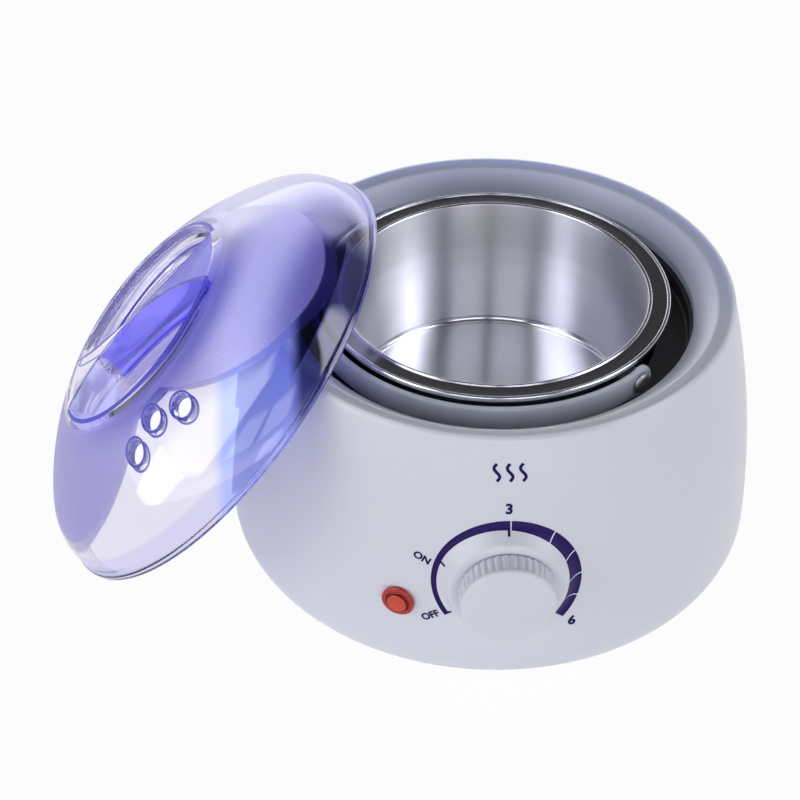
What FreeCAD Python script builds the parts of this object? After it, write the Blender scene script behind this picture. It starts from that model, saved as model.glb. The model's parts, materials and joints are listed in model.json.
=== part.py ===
"""Candle wax melter: an electric pot heater with a lift-out pot, a bail and a clear lid.

Frame: millimetres, +Z up, origin on the table under the middle of the housing, dial to -Y.
The pot stands in its well and the lid leans on the housing at -X, its rim on the table.
"""
import FreeCAD, Part
import math
import os
import re
import Sketcher

os.makedirs("parts", exist_ok=True)
doc = FreeCAD.newDocument("candle_wax_melter")
sheet = doc.addObject("Spreadsheet::Sheet", "Sizes")

# ---------------------------------------------------------------- driving sizes
SIZES = {
    # housing
    "body_radius": 75.0,
    "body_height": 82.2,
    "base_z": 1.0,
    "wall": 2.5,
    "corner_radius": 11.0,
    "wall_curve": 285.0,
    "crest_round": 2.3,
    "crest_drop": 1.1,
    "crest_width": 13.2,
    "slope_width": 6.4,
    "opening_drop": 6.1,
    "lip_depth": 2.6,
    "seat_width": 5.6,
    "fit_gap": 0.3,
    "slide_gap": 0.1,
    # screws
    "screw_radius": 1.3,
    "screw_head": 2.3,
    "screw_head_height": 1.4,
    "screw_slot": 0.6,
    "sink_depth": 0.9,
    # base
    "foot_land": 2.0,
    "base_thick": 2.0,
    "post_land": 3.5,
    "post_width": 8.0,
    "post_height": 11.5,
    "boss_root": 2.0,
    "screw_inset": 3.0,
    "foot_inset": 14.0,
    "foot_radius": 6.5,
    "foot_taper": 1.0,
    "foot_neck": 3.0,
    "foot_head": 4.3,
    "foot_head_height": 2.2,
    "vent_inset": 32.0,
    "vent_length": 14.0,
    "vent_width": 3.0,
    "vent_count": 12,
    # heating well
    "sheet_wall": 1.2,
    "funnel_step": 1.0,
    "funnel_depth": 4.6,
    "cup_gap": 2.7,
    "cup_corner": 4.0,
    # pot
    "mouth_gap": 12.9,
    "pot_taper": 1.9,
    "pot_wall": 0.9,
    "pot_corner": 4.0,
    "pot_depth": 40.7,
    "rim_drop": 1.2,
    "rim_width": 6.2,
    "rim_bead": 0.9,
    "lip_bead": 0.8,
    # bail
    "bail_gap": 0.75,
    "bail_wall": 1.6,
    "bail_width": 8.0,
    "bail_drop": 5.9,
    "bail_angle": -43.5,
    "lug_radius": 4.6,
    "pin_radius": 1.6,
    "stud_radius": 3.0,
    "stud_head": 2.9,
    "stud_head_thick": 1.0,
    # heater stack
    "plate_inset": 7.2,
    "plate_thick": 2.5,
    "element_inset": 12.0,
    "element_width": 8.0,
    "element_height": 3.4,
    "pin_spread": 8.0,
    "pin_wire": 1.2,
    "pin_length": 12.0,
    "pad_thick": 3.5,
    "retainer_thick": 1.2,
    "retainer_inset": 2.0,
    "stack_screw_inset": 2.5,
    # dial, knob and thermostat
    "dial_z": 38.3,
    "boss_radius": 15.4,
    "boss_stand": 1.0,
    "boss_blend": 1.5,
    "draft_angle": 35.0,
    "knob_gap": 0.5,
    "knob_radius": 14.2,
    "knob_face_radius": 13.0,
    "knob_depth": 6.3,
    "knob_crown": 0.7,
    "knob_edge": 1.1,
    "knob_hollow": 11.0,
    "knob_hollow_depth": 3.9,
    "knob_hub": 4.6,
    "rib_count": 40,
    "rib_groove": 0.55,
    "flute_length": 4.8,
    "shaft_radius": 3.0,
    "shaft_flat": 2.2,
    "run_gap": 0.08,
    "shaft_in": 8.6,
    "bush_radius": 4.6,
    "bush_length": 13.2,
    "nut_flats": 13.0,
    "nut_thick": 2.3,
    "stat_width": 27.0,
    "stat_height": 23.0,
    "stat_depth": 15.0,
    "bush_out": 11.4,
    "bracket_thick": 1.2,
    "bracket_width": 22.0,
    "bracket_foot": 11.0,
    "tab_width": 6.3,
    "tab_thick": 0.8,
    "tab_length": 7.0,
    # indicator
    "lamp_angle": -22.4,
    "lamp_z": 28.7,
    "lens_radius": 4.6,
    "lens_crown": 2.9,
    "lens_stem": 3.5,
    "lens_length": 9.0,
    "lens_seat": 0.3,
    "lens_edge": 0.8,
    "lens_rise": 0.35,
    "holder_thick": 1.8,
    "holder_seat": 0.6,
    "holder_width": 2.6,
    "neon_radius": 2.1,
    "neon_length": 10.0,
    "neon_gap": 0.5,
    "lead_wire": 0.4,
    "lead_length": 6.0,
    # cord inlet
    "inlet_z": 18.0,
    "inlet_bore": 3.4,
    "inlet_neck": 6.0,
    "inlet_flange": 8.5,
    "inlet_out": 4.0,
    "inlet_in": 6.0,
    "inlet_rim": 1.6,
    "inlet_nut_seat": 0.9,
    "inlet_nut_flats": 14.5,
    "wire_hole": 1.8,
    # inner cord clamp
    "clamp_inset": 12.0,
    "clamp_width": 24.0,
    "clamp_depth": 7.0,
    "clamp_foot": 2.0,
    # terminals and fuse
    "block_width": 32.0,
    "block_depth": 14.0,
    "block_height": 11.0,
    "block_x": 36.0,
    "fuse_radius": 2.0,
    "fuse_length": 11.0,
    "fuse_y": 18.0,
    "fuse_drop": 3.0,
    "clip_width": 5.0,
    "clip_wall": 1.0,
    # lid
    "lid_inset": 8.5,
    "lid_wall": 2.2,
    "lid_flange": 2.0,
    "lid_step": 0.9,
    "lean_angle": 48.0,
    "lid_angle": 178.5,
    "lid_gap": 0.6,
    "cap_rise": 2.2,
    "grip_half": 1.0,
    "grip_depth": 8.8,
    "scoop_dip": 3.0,
    "grip_corner": 7.0,
    "grip_core_half": 5.5,
    "hole_radius": 3.1,
    "hole_angle": 6.6,
    "hole_step_angle": 11.6,
    "hole_inset": 3.9,
}
for row, (alias, number) in enumerate(SIZES.items(), 1):
    sheet.set("A%d" % row, alias)
    sheet.set("B%d" % row, str(number))
    sheet.setAlias("B%d" % row, alias)

# Places that follow from the sizes, as formulas over the sheet.
FORMULAS = {
    "crest_inner": "body_radius - crest_width",
    "opening_radius": "crest_inner - slope_width",
    "seat_radius": "opening_radius + seat_width",
    "base_hole": "body_radius - corner_radius - foot_land",
    "base_screw_circle": "base_hole - screw_inset",
    "post_reach": "base_screw_circle - post_land",
    "foot_circle": "base_hole - foot_inset",
    "vent_circle": "base_hole - vent_inset",
    "funnel_radius": "opening_radius - funnel_step",
    "pot_radius": "opening_radius - mouth_gap",
    "pot_floor_radius": "pot_radius - pot_taper",
    "cup_radius": "pot_radius + cup_gap",
    "rim_radius": "pot_radius + rim_width",
    "rim_z": "body_height - rim_drop",
    "stud_root": "pot_radius + pot_wall",
    "plate_radius": "cup_radius - plate_inset",
    "element_radius": "plate_radius - element_inset",
    "retainer_radius": "plate_radius - retainer_inset",
    "stack_screw_circle": "retainer_radius - stack_screw_inset",
    "clamp_y": "base_hole - clamp_inset",
    "boss_face": "body_radius + boss_stand",
    "stat_face": "boss_face - bush_out",
    "shaft_start": "stat_face - shaft_in",
    "neon_tip": "lamp_wall_r - lens_crown / 2 - neon_gap",
    "lid_radius": "body_radius - lid_inset",
    "lid_crown": "0.543 * lid_radius",
    "lid_crown_curve": "1.414 * lid_radius",
    "lid_side_curve": "0.248 * lid_radius",
    "grip_radius": "0.486 * lid_radius",
    "grip_bulge": "1.64 * grip_radius",
    "cap_edge": "lid_crown - lid_crown_curve + sqrt(lid_crown_curve^2 - grip_radius^2)",
    "grip_floor": "cap_edge + cap_rise - grip_depth",
    "hole_circle": "0.72 * lid_radius",
    "arc_z": "base_z + corner_radius",
    "plate_top": "base_z + base_thick",
    "crest_side_z": "body_height - crest_round",
    "crest_side_r": "body_radius - wall_curve + sqrt(wall_curve^2 - (crest_side_z - arc_z)^2)",
    "crest_inner_z": "body_height - crest_drop",
    "opening_z": "body_height - opening_drop",
    "seat_z": "opening_z - lip_depth",
    "inner_top_z": "crest_inner_z - wall",
    "inner_top_r": "body_radius - wall_curve"
                   " + sqrt((wall_curve - wall)^2 - (inner_top_z - arc_z)^2)",
    "lamp_wall_r": "body_radius - wall_curve + sqrt(wall_curve^2 - (lamp_z - arc_z)^2)",
    "inlet_wall_r": "body_radius - wall_curve + sqrt(wall_curve^2 - (inlet_z - arc_z)^2)",
    "pot_floor_z": "rim_z - pot_depth",
    "pot_under_z": "pot_floor_z - pot_wall",
    "well_floor_z": "pot_under_z - fit_gap",
    "well_under_z": "well_floor_z - sheet_wall",
    "funnel_z": "seat_z - funnel_depth",
    "bail_z": "rim_z - bail_drop",
    "bail_inner": "rim_radius + bail_gap",
    "plate_z": "well_under_z - plate_thick",
    "element_z": "plate_z - element_height",
    "pad_z": "element_z - pad_thick",
    "retainer_z": "pad_z - retainer_thick",
    "well_screw_circle": "funnel_radius + sheet_wall + screw_head + slide_gap",
    "knob_back": "boss_face + knob_gap",
    "knob_front": "knob_back + knob_depth",
    "stat_back": "stat_face - stat_depth",
    "bush_end": "stat_face + bush_length",
    "shaft_end": "knob_front - 1.5",
    "stat_bottom": "dial_z - stat_height / 2",
}
WORD = re.compile(r"[a-z_]+[a-z]\b(?!\()")


def spelled(text):
    """Formula text with every formula name written out down to the sheet's aliases."""
    def swap(match):
        word = match.group(0)
        return "(" + spelled(FORMULAS[word]) + ")" if word in FORMULAS else word
    return WORD.sub(swap, str(text))


def bound(text):
    """Formula text as another object of the document reads it."""
    return WORD.sub(lambda match: "Sizes." + match.group(0), spelled(text))


doc.recompute()


def size(text):
    """The number that a formula gives now."""
    return float(sheet.evalExpression(spelled(text)))


# ---------------------------------------------------------------- helpers
def plane(body, role):
    """One of the body's own origin planes or axes."""
    return next(item for item in body.Origin.OriginFeatures if item.Role == role)


def new_body(label):
    """An empty PartDesign body that carries the sub-part's name."""
    body = doc.addObject("PartDesign::Body", label)
    body.Label = label
    return body


def place(item, x_text="0", y_text="0", z_text="0", rotation=FreeCAD.Rotation()):
    """Moves a sub-part to a place given by formulas, with a fixed turn."""
    item.Placement = FreeCAD.Placement(
        FreeCAD.Vector(size(x_text), size(y_text), size(z_text)), rotation)
    for axis, text in (("x", x_text), ("y", y_text), ("z", z_text)):
        item.setExpression("Placement.Base." + axis, bound(text))


def about(x, y, z, degrees):
    return FreeCAD.Rotation(FreeCAD.Vector(x, y, z), degrees)


def outward(degrees):
    """Turn that lays a sub-part's own +Z level, this many degrees from -Y towards +X."""
    return about(0, 0, 1, degrees).multiply(about(1, 0, 0, 90))


def sketch_on(body, role, name, offset="0", turn=0.0):
    """A sketch on one of the body's planes, turned about +Z and moved along its normal."""
    sketch = body.newObject("Sketcher::SketchObject", body.Name + "_" + name)
    sketch.AttachmentSupport = [(plane(body, role), "")]
    sketch.MapMode = "FlatFace"
    upright = role == "XZ_Plane"
    rotation = about(0, 1, 0, turn) if upright else about(0, 0, 1, turn)
    normal = rotation.multVec(FreeCAD.Vector(0, 0, 1))
    sketch.AttachmentOffset = FreeCAD.Placement(normal * size(offset), rotation)
    if size(offset) != 0:
        for axis, share in (("x", normal.x), ("z", normal.z)):
            sketch.setExpression(
                "AttachmentOffset.Base." + axis, "%s * %.12f" % (bound("(%s)" % offset), share))
    return sketch


def pin_point(sketch, geometry, end, x_text, y_text):
    """Ties one point of an edge to a place given by two formulas."""
    for axis, kind, text in ((-2, "DistanceX", x_text), (-1, "DistanceY", y_text)):
        if abs(size(text)) < 1e-9:
            sketch.addConstraint(Sketcher.Constraint("PointOnObject", geometry, end, axis))
            continue
        index = sketch.addConstraint(
            Sketcher.Constraint(kind, -1, 1, geometry, end, size(text)))
        sketch.setExpression("Constraints[%d]" % index, bound(text))


def arc_between(start, stop, radius, left):
    """Minor arc from start to stop that bends to the left or to the right on its way."""
    chord = stop - start
    reach = math.sqrt(max(radius ** 2 - (chord.Length / 2) ** 2, 0.0))
    side = FreeCAD.Vector(-chord.y, chord.x, 0).normalize()
    centre = (start + stop) * 0.5 + side * (reach if left else -reach)
    first, last = (start, stop) if left else (stop, start)
    angles = [math.atan2(p.y - centre.y, p.x - centre.x) for p in (first, last)]
    if angles[1] < angles[0]:
        angles[1] += 2 * math.pi
    return Part.ArcOfCircle(Part.Circle(centre, FreeCAD.Vector(0, 0, 1), radius), *angles)


def outline(sketch, steps):
    """A closed outline. A step is (x, y) for a straight run to that corner, or
    (x, y, "left" or "right", radius) for a round run, all as formula text."""
    corners = [FreeCAD.Vector(size(step[0]), size(step[1]), 0) for step in steps]
    ends = []
    for index, step in enumerate(steps):
        start, stop = corners[index - 1], corners[index]
        if len(step) == 2:
            edge = sketch.addGeometry(Part.LineSegment(start, stop), False)
            ends.append((edge, 1, 2))
            continue
        left = step[2] == "left"
        edge = sketch.addGeometry(arc_between(start, stop, size(step[3]), left), False)
        ends.append((edge, 1, 2) if left else (edge, 2, 1))
        rule = sketch.addConstraint(Sketcher.Constraint("Radius", edge, size(step[3])))
        sketch.setExpression("Constraints[%d]" % rule, bound(step[3]))
    for index, step in enumerate(steps):
        edge, _, stop_end = ends[index]
        following, start_end, _ = ends[(index + 1) % len(ends)]
        sketch.addConstraint(
            Sketcher.Constraint("Coincident", edge, stop_end, following, start_end))
        pin_point(sketch, edge, stop_end, step[0], step[1])


def ring(sketch, x_text, y_text, radius_text):
    """A circle of a bound radius at a bound place."""
    middle = FreeCAD.Vector(size(x_text), size(y_text), 0)
    edge = sketch.addGeometry(
        Part.Circle(middle, FreeCAD.Vector(0, 0, 1), size(radius_text)), False)
    pin_point(sketch, edge, 3, x_text, y_text)
    rule = sketch.addConstraint(Sketcher.Constraint("Radius", edge, size(radius_text)))
    sketch.setExpression("Constraints[%d]" % rule, bound(radius_text))


def crown_curve(half_width, rise):
    """Radius of an arc that rises to the axis over a half width, its centre on the axis."""
    return "((%s)^2 + (%s)^2) / (2 * (%s))" % (half_width, rise, rise)


def rectangle(sketch, left, bottom, right, top):
    outline(sketch, [(left, bottom), (right, bottom), (right, top), (left, top)])


def regular_outline(sketch, sides, flats_text, y_text="0"):
    """A regular outline by its width across flats, round a point of the sketch's Y axis."""
    steps = []
    for index in range(sides):
        angle = math.pi * (2 * index + 1) / sides
        reach = "(%s) / 2 * %.12f"
        x_text = reach % (flats_text, math.cos(angle) / math.cos(math.pi / sides))
        y_part = reach % (flats_text, math.sin(angle) / math.cos(math.pi / sides))
        steps.append((x_text, "%s + %s" % (y_text, y_part)))
    outline(sketch, steps)


def feature(body, kind, sketch, **values):
    """A PartDesign feature on a sketch; text values are bound as formulas."""
    made = body.newObject("PartDesign::" + kind, sketch.Name + "_" + kind)
    made.Profile = sketch
    for name, value in values.items():
        if isinstance(value, str):
            made.setExpression(name, bound(value))
        else:
            setattr(made, name, value)
    return made


def turned(body, steps, name="profile", angle="360"):
    """A profile in the XZ plane turned about the sub-part's own Z."""
    sketch = sketch_on(body, "XZ_Plane", name)
    outline(sketch, steps)
    return feature(body, "Revolution", sketch, ReferenceAxis=(sketch, ["V_Axis"]), Angle=angle)


def round_pattern(body, original, count):
    """Copies of one feature, evenly round the sub-part's own Z."""
    doc.recompute()
    pattern = body.newObject("PartDesign::PolarPattern", original.Name + "_copies")
    pattern.Originals = [original]
    pattern.Axis = (plane(body, "Z_Axis"), [""])
    pattern.Angle = 360
    pattern.setExpression("Occurrences", bound(count))
    body.Tip = pattern
    return pattern


def solid_feature(label, shape, placement=FreeCAD.Placement()):
    """A sub-part whose form is made with Part's own functions."""
    made = doc.addObject("Part::Feature", label)
    made.Label = label
    made.Shape = shape
    made.Placement = placement
    return made


def polar(radius, degrees, height=0.0):
    angle = math.radians(degrees)
    return FreeCAD.Vector(radius * math.cos(angle), radius * math.sin(angle), height)


def screw(base, shank, direction=FreeCAD.Vector(0, 0, 1)):
    """Pan-head screw: its head stands below the base point, its shank runs along the way."""
    head_height = size("screw_head_height")
    start = base - direction * head_height
    head = Part.makeCylinder(size("screw_head"), head_height, start, direction)
    stem = Part.makeCylinder(size("screw_radius"), shank, base, direction)
    slot = Part.makeBox(2 * size("screw_head"), size("screw_slot"), size("screw_slot"))
    slot.translate(FreeCAD.Vector(-size("screw_head"), -size("screw_slot") / 2, 0))
    slot.Placement = FreeCAD.Placement(
        start, FreeCAD.Rotation(FreeCAD.Vector(0, 0, 1), direction)).multiply(slot.Placement)
    return head.fuse(stem).removeSplitter().cut(slot)


POST_ANGLES = (45.0, 135.0, 225.0, 315.0)
WELL_SCREW_ANGLES = (0.0, 120.0, 240.0)
STACK_ANGLES = (30.0, 150.0, 270.0)
REAR = 180.0


# ---------------------------------------------------------------- housing and base
def make_housing():
    """One moulded shell: rounded foot, gently curved wall, crest, sloping mouth and lip."""
    body = new_body("outer_housing")
    turned(body, [
        ("base_hole", "base_z"),
        ("body_radius - corner_radius", "base_z"),
        ("body_radius", "arc_z", "left", "corner_radius"),
        ("crest_side_r", "crest_side_z", "left", "wall_curve"),
        ("crest_side_r - crest_round", "body_height", "left", "crest_round"),
        ("crest_inner", "crest_inner_z"),
        ("opening_radius", "opening_z"),
        ("opening_radius", "seat_z"),
        ("seat_radius", "seat_z"),
        ("seat_radius + wall", "inner_top_z"),
        ("inner_top_r", "inner_top_z"),
        ("body_radius - wall", "arc_z", "right", "wall_curve - wall"),
        ("base_hole", "base_z + wall", "right", "corner_radius"),
    ])
    boss = sketch_on(body, "XZ_Plane", "dial_boss", "boss_face")
    ring(boss, "0", "dial_z", "boss_radius")
    feature(body, "Pad", boss, Length="boss_face - body_radius + wall + boss_root",
            TaperAngle="draft_angle", Reversed=True)
    for number, angle in enumerate(POST_ANGLES, 1):
        post = sketch_on(body, "XY_Plane", "post_%d" % number, "plate_top", angle)
        rectangle(post, "post_reach", "-post_width / 2",
                  "body_radius - corner_radius + wall", "post_width / 2")
        feature(body, "Pad", post, Length="post_height")
        pilot = sketch_on(body, "XY_Plane", "post_pilot_%d" % number, "plate_top", angle)
        ring(pilot, "base_screw_circle", "0", "screw_radius + slide_gap")
        feature(body, "Pocket", pilot, Length="post_height - wall", Reversed=True)
    for number, angle in enumerate(WELL_SCREW_ANGLES, 1):
        pilot = sketch_on(body, "XY_Plane", "well_pilot_%d" % number, "seat_z", angle)
        ring(pilot, "well_screw_circle", "0", "screw_radius + slide_gap")
        feature(body, "Pocket", pilot, Length="lip_depth", Reversed=True)
    holes = (
        ("shaft_hole", 0.0, "dial_z", "bush_radius + fit_gap", "boss_face"),
        ("lamp_hole", size("lamp_angle"), "lamp_z", "lens_stem + slide_gap", "body_radius"),
        ("inlet_hole", REAR, "inlet_z", "inlet_neck + slide_gap", "body_radius"),
    )
    for name, angle, height, radius, face in holes:
        hole = sketch_on(body, "XZ_Plane", name, face, angle)
        ring(hole, "0", height, radius)
        feature(body, "Pocket", hole, Length="%s - body_radius + wall + boss_root + wall" % face)
    doc.recompute()
    sharp = body.Tip
    blend = body.newObject("PartDesign::Fillet", "boss_blend_round")
    blend.Base = (sharp, boss_edges(sharp.Shape))
    blend.setExpression("Radius", bound("boss_blend"))
    return body


def wall_radius(height):
    """Outer radius of the housing's curved wall at a height."""
    curve = size("wall_curve")
    return size("body_radius") - curve + math.sqrt(curve ** 2 - (height - size("arc_z")) ** 2)


def boss_edges(shape):
    """Names of the edges where the dial boss meets the curved wall outside."""
    names = []
    for number, edge in enumerate(shape.Edges, 1):
        middle = edge.valueAt((edge.FirstParameter + edge.LastParameter) / 2)
        reach = math.hypot(middle.x, middle.z - size("dial_z"))
        on_wall = abs(math.hypot(middle.x, middle.y) - wall_radius(middle.z)) < 0.02
        near_boss = size("boss_radius") < reach < 1.5 * size("boss_radius")
        if on_wall and near_boss and middle.y < 0 and edge.BoundBox.ZLength > size("boss_radius"):
            names.append("Edge%d" % number)
    return names


def make_base_plate():
    """Screwed-in floor with a ring of vent slots and holes for screws and feet."""
    body = new_body("base_plate")
    turned(body, [
        ("0", "base_z"),
        ("base_hole - fit_gap", "base_z"),
        ("base_hole - fit_gap", "plate_top"),
        ("0", "plate_top"),
    ])
    slot = sketch_on(body, "XY_Plane", "vent_slot", "plate_top")
    rectangle(slot, "vent_circle - vent_length / 2", "-vent_width / 2",
              "vent_circle + vent_length / 2", "vent_width / 2")
    round_pattern(body, feature(body, "Pocket", slot, Length="base_thick"), "vent_count")
    for number, angle in enumerate(POST_ANGLES, 1):
        holes = sketch_on(body, "XY_Plane", "holes_%d" % number, "plate_top", angle)
        ring(holes, "base_screw_circle", "0", "screw_radius + slide_gap")
        ring(holes, "foot_circle", "0", "foot_neck + slide_gap")
        feature(body, "Pocket", holes, Length="base_thick")
        sink = sketch_on(body, "XY_Plane", "sink_%d" % number, "base_z", angle)
        ring(sink, "base_screw_circle", "0", "screw_head + slide_gap")
        feature(body, "Pocket", sink, Length="sink_depth", Reversed=True)
    for number, (x_text, y_text) in enumerate(BRACKET_HOLES, 1):
        hole = sketch_on(body, "XY_Plane", "bracket_hole_%d" % number, "plate_top")
        ring(hole, x_text, y_text, "screw_radius + slide_gap")
        feature(body, "Pocket", hole, Length="base_thick")
    return body


def make_foot(label, angle):
    """Rubber foot: a tapered pad, a neck through the floor and a head that holds it."""
    body = new_body(label)
    turned(body, [
        ("0", "0"),
        ("foot_radius - foot_taper", "0"),
        ("foot_radius", "base_z - slide_gap"),
        ("foot_neck", "base_z - slide_gap"),
        ("foot_neck", "plate_top + slide_gap"),
        ("foot_head", "plate_top + slide_gap"),
        ("foot_neck", "plate_top + foot_head_height"),
        ("0", "plate_top + foot_head_height"),
    ])
    spot = polar(1.0, angle)
    place(body, "foot_circle * %.12f" % spot.x, "foot_circle * %.12f" % spot.y)
    return body


# ---------------------------------------------------------------- well and heater
def make_well():
    """Spun black sheet: flange under the housing's lip, short funnel, ledge and cup."""
    body = new_body("heating_well")
    turned(body, [
        ("0", "well_under_z"),
        ("cup_radius + sheet_wall - cup_corner", "well_under_z"),
        ("cup_radius + sheet_wall", "well_under_z + cup_corner", "left", "cup_corner"),
        ("cup_radius + sheet_wall", "funnel_z - sheet_wall"),
        ("funnel_radius + sheet_wall", "funnel_z - sheet_wall"),
        ("funnel_radius + sheet_wall", "seat_z - sheet_wall"),
        ("seat_radius - fit_gap", "seat_z - sheet_wall"),
        ("seat_radius - fit_gap", "seat_z"),
        ("funnel_radius", "seat_z"),
        ("funnel_radius", "funnel_z"),
        ("cup_radius + sheet_wall", "funnel_z"),
        ("cup_radius", "funnel_z - sheet_wall", "left", "sheet_wall"),
        ("cup_radius", "well_floor_z + cup_corner - sheet_wall"),
        ("cup_radius + sheet_wall - cup_corner", "well_floor_z", "right",
         "cup_corner - sheet_wall"),
        ("0", "well_floor_z"),
    ])
    for number, angle in enumerate(WELL_SCREW_ANGLES, 1):
        hole = sketch_on(body, "XY_Plane", "flange_hole_%d" % number, "seat_z", angle)
        ring(hole, "well_screw_circle", "0", "screw_radius + slide_gap")
        feature(body, "Pocket", hole, Length="sheet_wall")
    return body


def make_disc(label, radius, bottom, thick, drilled=True):
    """One round layer of the heater stack, with clear holes for its three screws."""
    body = new_body(label)
    sketch = sketch_on(body, "XY_Plane", "disc", bottom)
    ring(sketch, "0", "0", radius)
    feature(body, "Pad", sketch, Length=thick)
    for number, angle in enumerate(STACK_ANGLES if drilled else (), 1):
        hole = sketch_on(body, "XY_Plane", "hole_%d" % number, bottom, angle)
        ring(hole, "stack_screw_circle", "0", "screw_radius + slide_gap")
        feature(body, "Pocket", hole, Length=thick, Reversed=True)
    return body


def make_element():
    """Heating element: a flat-topped ring with two terminal pins that face the rear."""
    body = new_body("heating_element")
    turned(body, [
        ("element_radius - element_width / 2", "element_z + element_height / 3"),
        ("element_radius - element_width / 3", "element_z"),
        ("element_radius + element_width / 3", "element_z"),
        ("element_radius + element_width / 2", "element_z + element_height / 3"),
        ("element_radius + element_width / 2", "plate_z"),
        ("element_radius - element_width / 2", "plate_z"),
    ])
    pins = sketch_on(body, "XZ_Plane", "pins", "element_radius", REAR)
    for side in ("-pin_spread", "pin_spread"):
        ring(pins, side, "element_z + element_height / 2", "pin_wire")
    feature(body, "Pad", pins, Length="pin_length")
    return body


# ---------------------------------------------------------------- pot and bail
def make_pot():
    """Drawn pot: flat floor, slightly tapered wall, rolled lip and a flat beaded rim."""
    body = new_body("wax_pot")
    turned(body, [
        ("0", "pot_under_z"),
        ("pot_floor_radius + pot_wall - pot_corner", "pot_under_z"),
        ("pot_floor_radius + pot_wall", "pot_under_z + pot_corner", "left", "pot_corner"),
        ("pot_radius + pot_wall", "rim_z - 2 * rim_bead - pot_wall"),
        ("pot_radius + 2 * pot_wall", "rim_z - 2 * rim_bead", "right", "pot_wall"),
        ("rim_radius - rim_bead", "rim_z - 2 * rim_bead"),
        ("rim_radius", "rim_z - rim_bead", "left", "rim_bead"),
        ("rim_radius - rim_bead", "rim_z", "left", "rim_bead"),
        ("rim_radius - 2 * rim_bead", "rim_z - rim_bead", "left", "rim_bead"),
        ("pot_radius + 2 * lip_bead", "rim_z - rim_bead"),
        ("pot_radius + lip_bead", "rim_z - rim_bead + lip_bead", "left", "lip_bead"),
        ("pot_radius", "rim_z - rim_bead", "left", "lip_bead"),
        ("pot_floor_radius", "pot_under_z + pot_corner"),
        ("pot_floor_radius + pot_wall - pot_corner", "pot_floor_z", "right",
         "pot_corner - pot_wall"),
        ("0", "pot_floor_z"),
    ])
    return body


def make_stud(label, angle):
    """Bail stud on the pot: a thick foot against the wall, a pin and a riveted head."""
    body = new_body(label)
    turned(body, [
        ("0", "stud_root"),
        ("stud_radius", "stud_root"),
        ("stud_radius", "bail_inner - fit_gap"),
        ("pin_radius", "bail_inner - fit_gap"),
        ("pin_radius", "bail_inner + bail_wall + fit_gap"),
        ("stud_head", "bail_inner + bail_wall + fit_gap"),
        ("stud_head - stud_head_thick", "bail_inner + bail_wall + fit_gap + stud_head_thick",
         "left", "stud_head_thick"),
        ("0", "bail_inner + bail_wall + fit_gap + stud_head_thick"),
    ])
    place(body, z_text="bail_z", rotation=outward(angle + 90))
    return body


def make_bail():
    """Half-round strap with a round lug at each end, lying level round the pot."""
    body = new_body("bail_handle")
    turned(body, [
        ("bail_inner", "-bail_width / 2"),
        ("bail_inner + bail_wall", "-bail_width / 2"),
        ("bail_inner + bail_wall", "bail_width / 2"),
        ("bail_inner", "bail_width / 2"),
    ], angle="180")
    doc.recompute()
    if body.Tip.Shape.BoundBox.YMax < size("bail_inner") / 2:
        body.Tip.Reversed = True
    for number, offset in enumerate(("bail_inner", "-bail_inner - bail_wall"), 1):
        lug = sketch_on(body, "YZ_Plane", "lug_%d" % number, offset)
        ring(lug, "0", "0", "lug_radius")
        feature(body, "Pad", lug, Length="bail_wall")
        hole = sketch_on(body, "YZ_Plane", "lug_hole_%d" % number, offset + " - fit_gap")
        ring(hole, "0", "0", "pin_radius + slide_gap")
        feature(body, "Pocket", hole, Length="bail_wall + 2 * fit_gap", Reversed=True)
    place(body, z_text="bail_z", rotation=about(0, 0, 1, size("bail_angle") + 180))
    return body


# ---------------------------------------------------------------- dial and thermostat
def make_knob():
    """Knob with a fluted skirt, a soft crown and a hub with a flat for the shaft."""
    body = new_body("control_knob")
    turned(body, [
        ("0", "shaft_end + slide_gap"),
        ("shaft_radius / 2", "shaft_end + slide_gap"),
        ("shaft_radius / 2", "bush_end + fit_gap"),
        ("knob_hub", "bush_end + fit_gap"),
        ("knob_hub", "knob_back + knob_hollow_depth"),
        ("knob_hollow", "knob_back + knob_hollow_depth"),
        ("knob_hollow", "knob_back"),
        ("knob_radius", "knob_back"),
        ("knob_face_radius", "knob_front - knob_edge"),
        ("knob_face_radius - knob_edge", "knob_front", "left", "knob_edge"),
        ("0", "knob_front + knob_crown", "left",
         crown_curve("knob_face_radius - knob_edge", "knob_crown")),
    ])
    bore = sketch_on(body, "XY_Plane", "bore", "bush_end + fit_gap")
    flat_outline(bore, "shaft_radius + slide_gap / 2", "shaft_flat + slide_gap / 2")
    feature(body, "Pocket", bore, Length="shaft_end + slide_gap - bush_end - fit_gap", Reversed=True)
    flute = sketch_on(body, "XY_Plane", "flute", "knob_back")
    ring(flute, "knob_radius + rib_groove / 4", "0", "rib_groove")
    cut = feature(body, "Pocket", flute, Length="flute_length", Reversed=True)
    round_pattern(body, cut, "rib_count")
    place(body, z_text="dial_z", rotation=outward(0))
    return body


def flat_outline(sketch, radius, flat):
    """A round outline with one flat across +X."""
    half = "sqrt((%s)^2 - (%s)^2)" % (radius, flat)
    outline(sketch, [
        (flat, "-" + half),
        (flat, half),
        ("-(%s)" % radius, "0", "left", radius),
        (flat, "-" + half, "left", radius),
    ][1:])


def make_shaft():
    """Thermostat spindle with a flat where the knob's hub grips it."""
    body = new_body("knob_shaft")
    stem = sketch_on(body, "XY_Plane", "stem", "shaft_start")
    ring(stem, "0", "0", "shaft_radius")
    feature(body, "Pad", stem, Length="bush_end - shaft_start")
    tip = sketch_on(body, "XY_Plane", "tip", "bush_end")
    flat_outline(tip, "shaft_radius", "shaft_flat")
    feature(body, "Pad", tip, Length="shaft_end - bush_end")
    place(body, z_text="dial_z", rotation=outward(0))
    return body


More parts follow.
